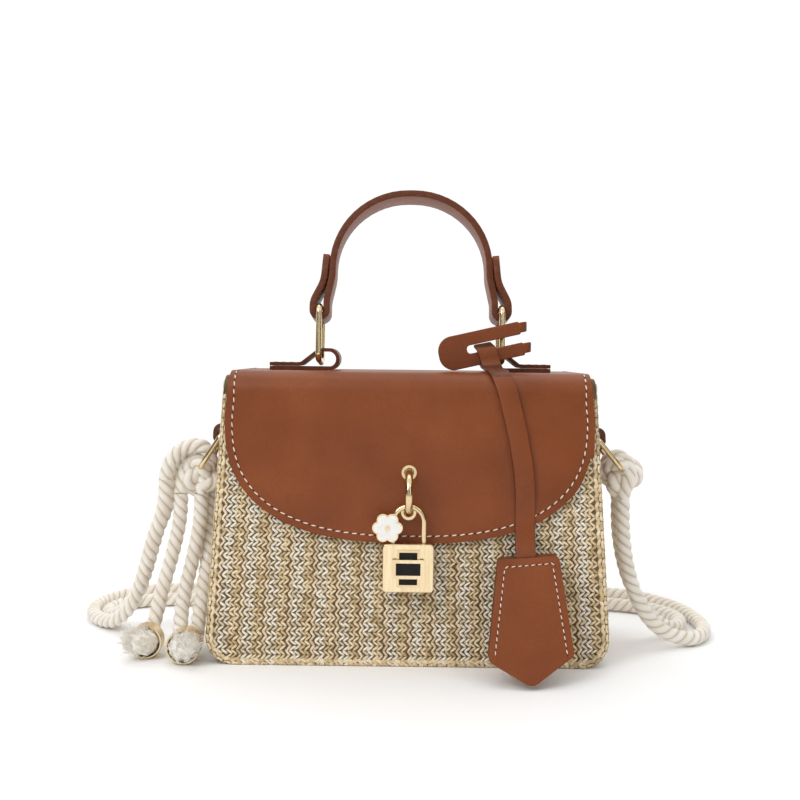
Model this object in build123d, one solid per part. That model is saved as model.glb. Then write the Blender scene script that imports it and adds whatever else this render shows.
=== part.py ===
from build123d import *
import math
import os

# A structured straw handbag: woven box, leather flap, top handle on metal links,
# hanging padlock with a flower charm, leather tag with a bell, and a cotton rope strap.
# Millimetres. Origin: bottom centre of the box on the floor. +X right, +Y back, +Z up.

# ---------------------------------------------------------------- driving dimensions
BOTTOM_WIDTH = 217.0
TOP_WIDTH = 198.0
BODY_HEIGHT = 154.3
BOTTOM_DEPTH = 88.0
TOP_DEPTH = 74.0
WALL = 4.0
BOTTOM_CORNER = 15.0
LINING = 0.8
BOARD = 2.0

LEATHER = 2.4
FLAP_DROP = 90.5          # from the flap's top face down to its lowest point
FLAP_INSET = 2.4          # how much narrower than the box the flap is, each side
FLAP_TOP_INSET = 3.2      # the same at the flap's top
FLAP_BEND = 12.0          # outer radius of the flap's front top bend
FLAP_GAP = 1.8            # room between the flap and the front panel
FLAP_CURVE = 2.56         # exponent of the flap's lower edge
FLAP_STRAIGHT = 25.0      # straight side of the flap below its top face
BAND_HEIGHT = 42.0

TAB = 2.0                 # thickness of the tabs
TAB_WIDTH = 18.0
TOP_TAB_LENGTH = 33.0
TOP_TAB_FOLD = 5.2        # centreline radius of the fold
SIDE_TAB_LENGTH = 30.0
SIDE_TAB_FOLD = 3.7

LINK_WIRE = 1.7           # radius of the handle links
LINK_WIDTH = 23.6
LINK_HEIGHT = 30.1
LINK_CORNER = 4.0
LINK_SPREAD = 51.3        # half the distance between the links
LEAN = 7.0                # backward lean of links and handle, degrees

STRAP = 3.7               # handle strap
STRAP_WIDTH = 19.0
HANDLE_RISE = 65.2        # from the links' upper bars to the crown of the strap
HANDLE_LOOP = LINK_WIRE + STRAP / 2 + 0.35    # centreline radius of the loop round a link

EYELET_SPACING = 21.0
EYELET_TOP_DROP = 53.0    # upper eyelet below the flap's top face
EYELET_RADIUS = 4.0
HASP_WIRE = 2.0
HASP_REACH = 4.5          # straight part of the hasp before its round end
HASP_PLATE = 1.0

SNAP_SPREAD = 34.0
SNAP_RADIUS = 6.0
SNAP_DISC = 0.7

LOCK_WIDTH = 26.5
LOCK_HEIGHT = 25.3
LOCK_DEPTH = 8.0
LOCK_BACK = 1.2
SHACKLE_WIRE = 1.4
SHACKLE_SPREAD = 8.0      # half the distance between the shackle's legs
SHACKLE_REACH = 11.2      # straight part of the shackle above the case
SLOT_WIDTH = 9.5
SLOT_HEIGHT = 17.0
SLOT_RIM = 1.3
SLIDER_WIDTH = 16.4
SLIDER_HEIGHT = 10.0

PETAL = 3.3
PETAL_RING = 4.7
CHARM = 1.6

TAG = 2.0
TAG_WIDTH = 10.6
SIDE_RING_WIRE = 1.5
SIDE_RING_WIDTH = 24.0
SIDE_RING_DEPTH = 26.5
LEFT_RING_ANGLE = 33.0    # degrees out from straight down
RIGHT_RING_ANGLE = 40.0
SIDE_PIVOT = 120.5        # height of the side rings' bars
ROPE = 4.0                # radius
CAP_RADIUS = 9.0
CAP_LENGTH = 13.0

GAP = 0.3                 # room between pieces that don't touch
FIT = 0.1                 # running clearance, radial

# ---------------------------------------------------------------- worked out
SIDE_SLOPE = (BOTTOM_WIDTH - TOP_WIDTH) / 2 / BODY_HEIGHT
FRONT_SLOPE = (BOTTOM_DEPTH - TOP_DEPTH) / 2 / BODY_HEIGHT
FRONT_TILT = math.degrees(math.atan(FRONT_SLOPE))
SIDE_TILT = math.degrees(math.atan(SIDE_SLOPE))
FLAP_TOP = BODY_HEIGHT + GAP + LEATHER
HINGE_Y = TOP_DEPTH / 2 + LEATHER / 2
HINGE_Z = FLAP_TOP - LEATHER / 2
LEAN_RISE = TAB_WIDTH / 2 * math.tan(math.radians(LEAN))
LINK_BASE = FLAP_TOP + TAB + 0.05 + GAP + LINK_WIRE + LEAN_RISE


def half_width(z):
    return BOTTOM_WIDTH / 2 - SIDE_SLOPE * z


def panel_y(z):
    """Outer face of the front panel at a height."""
    return -(BOTTOM_DEPTH / 2 - FRONT_SLOPE * z)


def flap_y(z):
    """Outer face of the flap's front at a height."""
    return panel_y(z) - (FLAP_GAP + LEATHER) / math.cos(math.radians(FRONT_TILT))


def box(low, high):
    size = [b - a for a, b in zip(low, high)]
    centre = [(a + b) / 2 for a, b in zip(low, high)]
    return Pos(*centre) * Box(*size)


def outline_face(points, radii=None):
    face = make_face(Polyline(*points, close=True))
    if radii:
        for point, radius in radii:
            corner = face.vertices().sort_by_distance((point[0], point[1], 0))[0]
            face = fillet(corner, radius)
    return face


def prism_x(points, half, radii=None):
    """A solid whose outline is drawn in Y and Z, from -half to +half in X."""
    face = outline_face(points, radii)
    return Pos(-half, 0, 0) * extrude(Plane.YZ * face, amount=2 * half)


def wire_along(path, radius):
    """A round wire or rope along an open or closed path."""
    start = Plane(path @ 0, z_dir=path % 0)
    return sweep(start * Circle(radius), path=path)


def strip_along(points, radii, thickness, width):
    """A flat strip of even thickness whose edge follows a path drawn in X and Z."""
    path = Plane.XZ * FilletPolyline(*points, radius=radii)
    start = Plane(path @ 0, x_dir=(0, 1, 0), z_dir=path % 0)
    return sweep(start * Rectangle(width, thickness), path=path)


# ---------------------------------------------------------------- straw box and lining
def wall_outline(inset, bottom, top):
    """The box's front view, drawn in by an inset, with its lower corners rounded."""
    low = half_width(bottom) - inset
    high = half_width(top) - inset
    points = [(-low, bottom), (low, bottom), (high, top), (-high, top)]
    corner = max(BOTTOM_CORNER - inset, 1.0)
    return outline_face(points, [((-low, bottom), corner), ((low, bottom), corner)])


def between_panels(inset, bottom, top, nose=None):
    """The wedge of space between the panels' outer faces, drawn in by an inset.

    nose rounds its top front edge."""
    shift = inset / math.cos(math.radians(FRONT_TILT))
    low = -panel_y(bottom) - shift
    high = -panel_y(top) - shift
    points = [(-low, bottom), (low, bottom), (high, top), (-high, top)]
    return prism_x(points, BOTTOM_WIDTH, [((-high, top), nose)] if nose else None)


def slab(face):
    """A front-view outline run right through the box's depth."""
    return Pos(0, BOTTOM_DEPTH, 0) * extrude(Plane.XZ * face, amount=2 * BOTTOM_DEPTH)


NOSE = FLAP_BEND - LEATHER - 1.6      # the box's top front edge, inside the flap's bend
full_box = slab(wall_outline(0, 0, BODY_HEIGHT)) & between_panels(0, 0, BODY_HEIGHT, NOSE)
core = between_panels(WALL, 0, BODY_HEIGHT)
shell = full_box - slab(wall_outline(WALL, WALL, BODY_HEIGHT + 1))
gusset = shell & core
front_half = box((-BOTTOM_WIDTH, -BOTTOM_DEPTH, -1), (BOTTOM_WIDTH, 0, BODY_HEIGHT + 1))
front_panel = (full_box - core) & front_half
back_panel = (full_box - core) - front_half

board_top = WALL + BOARD
board_half = half_width(WALL) - WALL - (BOTTOM_CORNER - WALL) - 2 * GAP
board_depth = -panel_y(board_top) - WALL - GAP - 0.1
base_board = box((-board_half, -board_depth, WALL), (board_half, board_depth, board_top))

lining_top = BODY_HEIGHT - 3.0
lining_outer = slab(wall_outline(WALL + GAP, board_top, lining_top))
lining_outer = lining_outer & between_panels(WALL + GAP, board_top, lining_top)
lining_inner = slab(wall_outline(WALL + GAP + LINING, board_top + LINING, lining_top + 1))
lining_inner = lining_inner & between_panels(WALL + GAP + LINING, board_top, lining_top + 1)
lining = lining_outer - lining_inner

# ---------------------------------------------------------------- leather flap and band
def bent_profile(offset, thickness, back, low, bend):
    """Side view of leather that lies on the flap's path: top face, bend, sloping front.

    offset is the leather's outer face outside the flap's outer face."""
    def front(z, out):
        return flap_y(z) - out / math.cos(math.radians(FRONT_TILT))

    top = FLAP_TOP + offset
    inner_top = top - thickness
    inner = offset - thickness
    points = [(back, top), (front(top, offset), top), (front(low, offset), low),
              (front(low, inner), low), (front(inner_top, inner), inner_top), (back, inner_top)]
    return points, [((front(top, offset), top), bend + offset),
                    ((front(inner_top, inner), inner_top), bend + inner)]


flap_low = FLAP_TOP - FLAP_DROP
points, radii = bent_profile(0, LEATHER, HINGE_Y, flap_low - 1, FLAP_BEND)
flap_sheet = prism_x(points, BOTTOM_WIDTH / 2, radii)
flap_sheet += Pos(0, HINGE_Y, HINGE_Z) * Rot(0, 90, 0) * Cylinder(LEATHER / 2, BOTTOM_WIDTH)

curve_top = FLAP_TOP - FLAP_STRAIGHT
curve_half = half_width(curve_top) - FLAP_INSET
top_half = half_width(FLAP_TOP) - FLAP_TOP_INSET
curve_drop = curve_top - flap_low
CURVE_STEPS = 16
lower_edge = []
for step in range(CURVE_STEPS + 1):
    turn = math.pi * step / CURVE_STEPS
    across = -math.cos(turn)
    down = math.sin(turn)
    x = curve_half * math.copysign(abs(across) ** (2 / FLAP_CURVE), across)
    lower_edge.append((x, curve_top - curve_drop * abs(down) ** (2 / FLAP_CURVE)))
edge_curve = Spline(*lower_edge, tangents=((0, -1), (0, 1)))
edge_sides = Polyline(lower_edge[-1], (top_half, FLAP_TOP + 5), (-top_half, FLAP_TOP + 5), lower_edge[0])
flap_outline = make_face([edge_curve, *edge_sides.edges()])
flap = flap_sheet & slab(flap_outline)

band_low = HINGE_Z - LEATHER / 2 - GAP - BAND_HEIGHT
band_top = HINGE_Z - LEATHER / 2 - GAP
back_band = prism_x([(-panel_y(band_low), band_low), (-panel_y(band_top), band_top),
                     (-panel_y(band_top) + LEATHER, band_top), (-panel_y(band_low) + LEATHER, band_low)],
                    half_width(FLAP_TOP) - 1.0)

# ---------------------------------------------------------------- hasp, eyelets and magnets
def front_plane(z, out):
    """A plane on the front, at a height, with its normal outwards; local Y runs up."""
    tilt = math.radians(FRONT_TILT)
    y = panel_y(z) - out / math.cos(tilt)
    return Plane(origin=(0, y, z), x_dir=(1, 0, 0), z_dir=(0, -math.cos(tilt), math.sin(tilt)))


flap_out = FLAP_GAP + LEATHER
upper_z = FLAP_TOP - EYELET_TOP_DROP
lower_z = upper_z - EYELET_SPACING
hasp_z = (upper_z + lower_z) / 2
hasp_plane = front_plane(hasp_z, flap_out)
hole = HASP_WIRE + 2 * FIT
spread = EYELET_SPACING / 2
for side in (-1, 1):
    flap -= hasp_plane * Pos(0, side * spread, 0) * Cylinder(hole, 4 * LEATHER)


def eyelet(side):
    height = 1.0
    ring = Cylinder(EYELET_RADIUS, height) - Cylinder(hole + FIT, 2 * height)
    ring = fillet(ring.edges().filter_by(GeomType.CIRCLE).group_by(Axis.Z)[-1][-1:], 0.4)
    return hasp_plane * Pos(0, side * spread, height / 2) * ring


upper_eyelet = eyelet(1)
lower_eyelet = eyelet(-1)

side_view = Plane(origin=hasp_plane.origin, x_dir=hasp_plane.z_dir, z_dir=(1, 0, 0))
limb = Polyline((-LEATHER, -spread), (HASP_REACH, -spread))
round_end = ThreePointArc((HASP_REACH, -spread), (HASP_REACH + spread, 0), (HASP_REACH, spread))
upper_limb = Polyline((HASP_REACH, spread), (-LEATHER, spread))
# the view's local Y points down the panel, so the lower limb is drawn first
hasp_path = side_view * Wire([*limb.edges(), round_end.edge(), *upper_limb.edges()])
hasp_loop = wire_along(hasp_path, HASP_WIRE)
plate_width = 2 * HASP_WIRE + 5
hasp_plate = front_plane(hasp_z, FLAP_GAP) * Pos(0, 0, -HASP_PLATE / 2)
hasp_plate = hasp_plate * Box(plate_width, EYELET_SPACING + plate_width, HASP_PLATE)

snap_z = hasp_z - 4


def snap(side, out):
    disc = Pos(side * SNAP_SPREAD, 0, SNAP_DISC / 2) * Cylinder(SNAP_RADIUS, SNAP_DISC)
    return front_plane(snap_z, out) * disc


snap_socket = {side: snap(side, 0) for side in (-1, 1)}
snap_stud = {side: snap(side, FLAP_GAP - SNAP_DISC) for side in (-1, 1)}

# ---------------------------------------------------------------- looped tabs
def looped_tab(length, fold):
    """A strip laid flat, folded back over a ring bar, and laid on itself.

    Drawn with its free end at X 0 and its lower face on Z 0; the fold is at X length."""
    low = TAB / 2 + 0.05
    high = low + 2 * fold
    top = low + TAB + GAP
    turn = length + fold
    points = [(0, low), (turn, low), (turn, high), (length - fold, high),
              (length - 3.0 * fold, top), (0, top)]
    bend = 0.98 * fold
    return strip_along(points, [bend, bend, 2.5, 2.5], TAB, TAB_WIDTH)


TOP_TAB_START = LINK_SPREAD + TOP_TAB_LENGTH - TOP_TAB_FOLD - 0.3
top_tab_shape = looped_tab(TOP_TAB_LENGTH, TOP_TAB_FOLD)
left_top_tab = Pos(-TOP_TAB_START, 0, FLAP_TOP) * top_tab_shape
right_top_tab = mirror(left_top_tab, about=Plane.YZ)

side_tab_low = SIDE_PIVOT - SIDE_TAB_LENGTH + 1.0
side_tab_shape = Rot(0, -90, 0) * looped_tab(SIDE_TAB_LENGTH, SIDE_TAB_FOLD)
side_tab_shape = mirror(side_tab_shape, about=Plane.YZ)
right_side_tab = Pos(half_width(side_tab_low), 0, side_tab_low) * Rot(0, -SIDE_TILT, 0) * side_tab_shape
left_side_tab = mirror(right_side_tab, about=Plane.YZ)

# ---------------------------------------------------------------- handle and its links
def lean_back(shape):
    """Links and handle lean back together about the links' lower bars."""
    return Pos(0, 0, LINK_BASE) * Rot(-LEAN, 0, 0) * Pos(0, 0, -LINK_BASE) * shape


link_path = Plane.YZ * RectangleRounded(LINK_WIDTH, LINK_HEIGHT, LINK_CORNER).wire()
link = wire_along(link_path, LINK_WIRE)
left_handle_ring = lean_back(Pos(-LINK_SPREAD, 0, LINK_BASE + LINK_HEIGHT / 2) * link)
right_handle_ring = lean_back(Pos(LINK_SPREAD, 0, LINK_BASE + LINK_HEIGHT / 2) * link)

bar_z = LINK_BASE + LINK_HEIGHT
crown = bar_z + HANDLE_RISE
loop_low = bar_z - HANDLE_LOOP - 2.0
tail_top = bar_z + 29.6
inner_x = LINK_SPREAD - HANDLE_LOOP
outer_x = LINK_SPREAD + HANDLE_LOOP
# the strap is a half circle that flares to the links, goes round them and up the sewn tails
ARCH = 43.7
right_half = [(ARCH, crown), (ARCH + 0.7, crown - 47.5), (inner_x, bar_z + 4.0), (inner_x, loop_low),
              (outer_x, loop_low), (outer_x, bar_z + 5.0), (ARCH + 5.2, tail_top)]
left_half = [(-x, z) for x, z in right_half[::-1]]
bend = 0.98 * HANDLE_LOOP
half_radii = [0.98 * ARCH, 30.0, 18.0, bend, bend, 14.0]
handle_points = left_half + right_half
handle_strap = strip_along(handle_points, half_radii[::-1] + half_radii, STRAP, STRAP_WIDTH)
handle_strap = lean_back(handle_strap)

# ---------------------------------------------------------------- padlock
hasp_centre_y = hasp_plane.origin.Y - HASP_REACH
LOCK_FORWARD = 1.9        # how far the shackle's bight hangs in front of the hasp's centre
lock_y = hasp_centre_y - LOCK_FORWARD
seat = spread - HASP_WIRE - SHACKLE_WIRE - GAP
shackle_top = hasp_z - math.sqrt(seat ** 2 - LOCK_FORWARD ** 2)
lock_top = shackle_top - SHACKLE_SPREAD - SHACKLE_REACH
lock_low = lock_top - LOCK_HEIGHT
lock_front = lock_y - LOCK_DEPTH / 2
lock_rear = lock_y + LOCK_DEPTH / 2
lock_mid = (lock_top + lock_low) / 2
leg_hole = SHACKLE_WIRE + FIT
SHORT_LEG = 5.0
LONG_LEG = 16.0

padlock_case = box((-LOCK_WIDTH / 2, lock_front, lock_low),
                   (LOCK_WIDTH / 2, lock_rear - LOCK_BACK, lock_top))
padlock_case = fillet(padlock_case.edges().filter_by(Axis.Y), 1.8)
padlock_case = fillet(padlock_case.faces().sort_by(Axis.Y)[0].edges(), 0.6)
catch_room = (SHACKLE_SPREAD - leg_hole - 0.8, SLOT_HEIGHT / 2 - 0.5)
FRONT_WALL = 1.8
padlock_case -= box((-catch_room[0], lock_front + FRONT_WALL, lock_mid - catch_room[1]),
                    (catch_room[0], lock_rear, lock_mid + catch_room[1]))
STEM = 4.0
SLIDE = 3.0
padlock_case -= box((-STEM / 2 - GAP, lock_front - 1, lock_mid - STEM / 2 - SLIDE - GAP),
                    (STEM / 2 + GAP, lock_front + FRONT_WALL + 1, lock_mid + STEM / 2 + SLIDE + GAP))
for side, depth in ((-1, LONG_LEG), (1, SHORT_LEG)):
    leg_room = Cylinder(leg_hole, depth + 2 * FIT)
    padlock_case -= Pos(side * SHACKLE_SPREAD, lock_y, lock_top - depth / 2) * leg_room
padlock_back = box((-LOCK_WIDTH / 2, lock_rear - LOCK_BACK, lock_low), (LOCK_WIDTH / 2, lock_rear, lock_top))
padlock_back = fillet(padlock_back.edges().filter_by(Axis.Y), 1.8)

rim_half = (SLOT_WIDTH / 2 + SLOT_RIM, SLOT_HEIGHT / 2 + SLOT_RIM)
RIM = 0.8
INLAY = 0.4
lock_slot_frame = box((-rim_half[0], lock_front - RIM, lock_mid - rim_half[1]),
                      (rim_half[0], lock_front, lock_mid + rim_half[1]))
lock_slot_frame -= box((-SLOT_WIDTH / 2, lock_front - 2, lock_mid - SLOT_HEIGHT / 2),
                       (SLOT_WIDTH / 2, lock_front + 1, lock_mid + SLOT_HEIGHT / 2))
lock_slot_inlay = box((-SLOT_WIDTH / 2, lock_front - INLAY, lock_mid - SLOT_HEIGHT / 2),
                      (SLOT_WIDTH / 2, lock_front, lock_mid + SLOT_HEIGHT / 2))
lock_slot_inlay -= box((-STEM / 2 - GAP, lock_front - 1, lock_mid - STEM / 2 - SLIDE - GAP),
                       (STEM / 2 + GAP, lock_front + 1, lock_mid + STEM / 2 + SLIDE + GAP))
slider_back = lock_front - RIM - GAP
SLIDER = 1.4
lock_slider = box((-SLIDER_WIDTH / 2, slider_back - SLIDER, lock_mid - SLIDER_HEIGHT / 2),
                  (SLIDER_WIDTH / 2, slider_back, lock_mid + SLIDER_HEIGHT / 2))
lock_slider = fillet(lock_slider.edges().filter_by(Axis.Y), 0.8)
pocket = (SLIDER_WIDTH / 2 - 1.8, SLIDER_HEIGHT / 2 - 1.8)
lock_slider -= box((-pocket[0], slider_back - 2 * SLIDER, lock_mid - pocket[1]),
                   (pocket[0], slider_back - SLIDER / 2, lock_mid + pocket[1]))
catch_face = lock_front + FRONT_WALL + GAP
lock_slider += box((-STEM / 2, slider_back - 0.1, lock_mid - STEM / 2),
                   (STEM / 2, catch_face, lock_mid + STEM / 2))
lock_slider_inlay = box((-pocket[0], slider_back - SLIDER + 0.2, lock_mid - pocket[1]),
                        (pocket[0], slider_back - SLIDER / 2, lock_mid + pocket[1]))
lock_catch = box((-catch_room[0] + GAP, catch_face, lock_mid - 4),
                 (catch_room[0] - GAP, catch_face + 3, lock_mid + 4))

arch_z = shackle_top - SHACKLE_SPREAD
shackle_path = Plane.XZ.offset(-lock_y) * Wire([
    Line((-SHACKLE_SPREAD, lock_top - LONG_LEG), (-SHACKLE_SPREAD, arch_z)),
    ThreePointArc((-SHACKLE_SPREAD, arch_z), (0, shackle_top), (SHACKLE_SPREAD, arch_z)),
    Line((SHACKLE_SPREAD, arch_z), (SHACKLE_SPREAD, lock_top - SHORT_LEG)),
])
shackle = wire_along(shackle_path, SHACKLE_WIRE)

# ---------------------------------------------------------------- flower charm on the shackle's left leg
charm_x = -SHACKLE_SPREAD - 3.0
charm_z = lock_top + PETAL_RING + PETAL + GAP
charm_back = lock_y - SHACKLE_WIRE - 0.5


def flower(shrink, thickness, back):
    shape = Cylinder(PETAL_RING, thickness)
    for step in range(6):
        turn = math.radians(60 * step)
        lobe = Pos(PETAL_RING * math.cos(turn), PETAL_RING * math.sin(turn), 0)
        shape += lobe * Cylinder(PETAL - shrink, thickness)
    return Pos(charm_x, back - thickness / 2, charm_z) * Rot(90, 0, 0) * shape


BAIL_WIRE = 0.6
bail_radius = SHACKLE_WIRE + GAP + BAIL_WIRE
charm_plate = 0.6 * CHARM
flower_charm = flower(0, charm_plate, charm_back)
flower_charm += Pos(-SHACKLE_SPREAD, lock_y, charm_z) * Torus(bail_radius, BAIL_WIRE)
charm_enamel = flower(0.7, CHARM - charm_plate, charm_back - charm_plate)
centre_dot = Cylinder(1.3, 0.5)
charm_centre = Pos(charm_x, charm_back - CHARM - 0.25, charm_z) * Rot(90, 0, 0) * centre_dot

# ---------------------------------------------------------------- leather tag
# The head loops round the right link's front wire; the strap runs over the flap's bend.
TAG_CLEAR = 0.5
wire_y = -LINK_WIDTH / 2
loop_left = LINK_SPREAD - 10.0
loop_right = LINK_SPREAD + 10.5
head_low = FLAP_TOP + GAP + 1.0
head_front = wire_y - LINK_WIRE - 0.8
turn_low = FLAP_TOP + 2 * TOP_TAB_FOLD + TAB + 0.6
turn_high = turn_low + TAG_WIDTH
wire_shift = (turn_high - LINK_BASE) * math.tan(math.radians(LEAN))
head_back = wire_y + wire_shift + LINK_WIRE + 0.8
head_plate = Plane.XZ.offset(-head_front) * RectangleRounded(47, 19, 8)
head_plate = head_plate - Plane.XZ.offset(-head_front) * Pos(5, 0) * RectangleRounded(30, 4.5, 2)
tag_head = Pos(LINK_SPREAD - 12.5, 0, head_low + 12.5) * Rot(0, -13, 0) * extrude(head_plate, amount=TAG)
turn_strip = box((loop_right, head_front - TAG, turn_low), (loop_right + TAG, head_back + TAG, turn_high))
turn_strip += box((loop_left, head_back, turn_low), (loop_right + TAG, head_back + TAG, turn_high))
turn_strip += box((loop_left - TAG, head_front - TAG, turn_low), (loop_left, head_back + TAG, turn_high))
tag_head += turn_strip

pivot_z = FLAP_TOP - 11.0
tag_half = TAG_WIDTH / 2
tag_top_x = LINK_SPREAD - 5.5
tag_bend_x = LINK_SPREAD + 1.0
tag_hang_x = LINK_SPREAD + 10.2
points, radii = bent_profile(TAG_CLEAR + TAG, TAG, head_front + 1.0, pivot_z - FLAP_BEND, FLAP_BEND)
over_bend = prism_x(points, BOTTOM_WIDTH / 2, radii)
over_band = [(tag_top_x - tag_half - 1.0, FLAP_TOP + 9), (tag_top_x + tag_half - 1.0, FLAP_TOP + 9),
             (tag_bend_x + tag_half, pivot_z), (tag_bend_x - tag_half, pivot_z)]
tag_head += over_bend & slab(outline_face(over_band))
riser = box((tag_top_x - tag_half, head_front - TAG, FLAP_TOP + TAG_CLEAR),
            (tag_top_x + tag_half - 2, head_front, turn_low + 2))
tag_head += riser


def tag_front(z):
    """Inner face of the tag's strap: close to the flap above, leaning out below."""
    return flap_y(z) - TAG_CLEAR


BELL_TOP = 62.0
BELL_TIP = 1.8
BELL_LEAN = 27.0          # how far the bell's tip stands out from its top
pivot_y = tag_front(pivot_z) - TAG / 2
tag_pivot_z = pivot_z - TAG / 2 - GAP
bell_y = tag_front(BELL_TOP) - 3.0
bell_run = BELL_LEAN / (BELL_TOP - BELL_TIP)
strap_thick = TAG * math.hypot(1, bell_run)
strap_end = BELL_TOP - 6.0
strap_enter = BELL_TOP + 1.5
STRAP_BEND = 98.0         # height where the strap leaves the flap's face


def bell_line(z, out):
    """A line parallel to the leaning bell, at a height."""
    return bell_y - out - (BELL_TOP - z) * bell_run


strap_side = [(tag_front(tag_pivot_z), tag_pivot_z), (tag_front(STRAP_BEND), STRAP_BEND),
              (bell_line(strap_enter, GAP), strap_enter), (bell_line(strap_end, GAP), strap_end),
              (bell_line(strap_end, GAP + strap_thick), strap_end),
              (bell_line(strap_enter, GAP + strap_thick), strap_enter),
              (tag_front(STRAP_BEND) - TAG, STRAP_BEND), (tag_front(tag_pivot_z) - TAG, tag_pivot_z)]
strap_view = [(tag_bend_x - tag_half, tag_pivot_z), (tag_bend_x + tag_half, tag_pivot_z),
              (tag_hang_x + tag_half - 2, 118), (tag_hang_x + tag_half, STRAP_BEND),
              (tag_hang_x + tag_half, strap_end), (tag_hang_x - tag_half, strap_end),
              (tag_hang_x - tag_half, STRAP_BEND), (tag_hang_x - tag_half - 2, 118)]
tag_strap = prism_x(strap_side, BOTTOM_WIDTH / 2) & slab(outline_face(strap_view))

bell_view = [(46.8, 60.4), (78.5, 62.6), (84.0, 16.4), (62.2, BELL_TIP), (40.6, 13.2)]
bell_face = outline_face(bell_view, [(bell_view[0], 2.5), (bell_view[1], 2.5), (bell_view[2], 3.0),
                                     (bell_view[3], 6.0), (bell_view[4], 3.0)])


def bell_leaf(out):
    """One leaf of the bell: a sheet that leans out towards its tip, its back on bell_line(out)."""
    high = BELL_TOP + 2
    low = BELL_TIP - 2
    side = [(bell_line(high, out), high), (bell_line(low, out), low),
            (bell_line(low, out + strap_thick), low), (bell_line(high, out + strap_thick), high)]
    return prism_x(side, BOTTOM_WIDTH / 2) & slab(bell_face)


bell_back_leaf = bell_leaf(-strap_thick)
bell_front_leaf = bell_leaf(strap_thick + 2 * GAP)

# ---------------------------------------------------------------- side rings and knots
pivot_x = half_width(SIDE_PIVOT) + TAB + 0.05 + GAP + SIDE_RING_WIRE + 0.2
d_half = SIDE_RING_WIDTH / 2
d_straight = SIDE_RING_DEPTH - d_half
D_CORNER = 2.5
d_lines = [(-d_half, 0), (-d_half, d_straight), (d_half, d_straight), (d_half, 0)]
d_upper = FilletPolyline(*d_lines, radius=D_CORNER)
d_arc = ThreePointArc((d_half, 0), (0, -d_half), (-d_half, 0))
d_wire = Wire([*d_upper.edges(), d_arc.edge()])
# drawn with the straight bar on local Y = d_straight; hung so that the bar is the pivot
d_path = Plane.YZ * Pos(0, -d_straight) * d_wire


def hang_ring(shape, angle):
    return Pos(pivot_x, 0, SIDE_PIVOT) * Rot(0, -angle, 0) * shape


ring_wire = wire_along(d_path, SIDE_RING_WIRE)
ring_room = wire_along(d_path, SIDE_RING_WIRE + 0.2)
right_side_ring = hang_ring(ring_wire, RIGHT_RING_ANGLE)
left_side_ring = mirror(hang_ring(ring_wire, LEFT_RING_ANGLE), about=Plane.YZ)

KNOT_CLEAR = 2.6          # room between a knot and the tab beside it
knot_in = half_width(BODY_HEIGHT / 2) + 2 * TAB + KNOT_CLEAR
KNOT_OUT = 132.0
KNOT_LOW = 86.0
KNOT_TOP = 113.0
KNOT_HALF = 13.0


def lump(low, high, soft):
    shape = box(low, high)
    return fillet(shape.edges(), soft)


right_knot = lump((knot_in, -KNOT_HALF, KNOT_LOW), (KNOT_OUT, KNOT_HALF, KNOT_TOP), 4.0)
right_knot -= hang_ring(ring_room, RIGHT_RING_ANGLE)
left_knot = lump((-KNOT_OUT, -KNOT_HALF, KNOT_LOW), (-knot_in, KNOT_HALF, KNOT_TOP - 5), 4.0)
ARCH_OUT = 141.0
arch = lump((-ARCH_OUT, -KNOT_HALF + 2, KNOT_LOW + 8), (-KNOT_OUT + 8, KNOT_HALF - 2, KNOT_TOP + 3), 4.0)
left_knot = left_knot + arch - mirror(hang_ring(ring_room, LEFT_RING_ANGLE), about=Plane.YZ)

# ---------------------------------------------------------------- rope strap
FLOOR = ROPE + 0.05
outer_route = [
    (121.5, -6.5, KNOT_LOW), (121.5, -6.5, 71), (123, -6.8, 56), (126, -7, 41.5), (131, -7, 28),
    (138.5, -6.5, 16), (149, -5, 8), (163, -1.5, FLOOR), (175, 6.5, FLOOR), (182.5, 19, FLOOR),
    (186, 34, FLOOR), (185.5, 50, FLOOR), (181, 67, FLOOR), (172, 83, FLOOR), (158, 97, FLOOR),
    (139, 107, FLOOR), (110, 112, FLOOR), (70, 117, FLOOR), (10, 113, FLOOR), (-50, 117, FLOOR),
    (-92, 110, FLOOR), (-121, 106, FLOOR), (-145, 106.5, FLOOR), (-166, 104, FLOOR), (-183, 97, FLOOR),
    (-196, 84.5, FLOOR), (-203, 68, FLOOR), (-203.5, 50, FLOOR), (-197, 34, FLOOR), (-185.5, 22, FLOOR),
    (-172, 13.5, 7), (-161.5, 8, 17), (-155, 4, 31), (-150, 0.5, 47), (-145.5, -3, 61), (-141, -5.5, 72),
    (-138, -6.5, 83), (-138, -6.5, KNOT_LOW + 8),
]
inner_route = [
    (121.5, 6.5, KNOT_LOW), (121.5, 6.5, 71), (123.5, 6.8, 56), (127, 7.2, 42), (132.5, 8, 29),
    (140, 10, 17.5), (149.5, 14, 8.5), (160, 21, FLOOR), (167, 32.5, FLOOR), (168.5, 46, FLOOR),
    (163, 59.5, FLOOR), (152, 70, FLOOR), (136, 77, FLOOR), (110, 81, FLOOR), (70, 86, FLOOR),
    (10, 85, FLOOR), (-50, 88, FLOOR), (-92, 81, FLOOR), (-118, 77.5, FLOOR), (-138, 76.8, FLOOR),
    (-154, 76.5, FLOOR), (-167, 73.5, FLOOR), (-179, 66.5, FLOOR), (-186, 54.5, FLOOR), (-186, 41, FLOOR),
    (-179, 29.5, 5), (-168.5, 21.5, 12), (-160, 16.5, 22.5), (-154.5, 13, 35.5), (-150, 10, 50),
    (-146, 8, 63), (-141.5, 6.8, 73), (-138, 6.5, 83), (-138, 6.5, KNOT_LOW + 8),
]
CAP_Z = CAP_RADIUS + GAP
cap_one = (-142.0, -24.0, CAP_Z)
cap_two = (-119.5, -33.0, CAP_Z)
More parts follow.
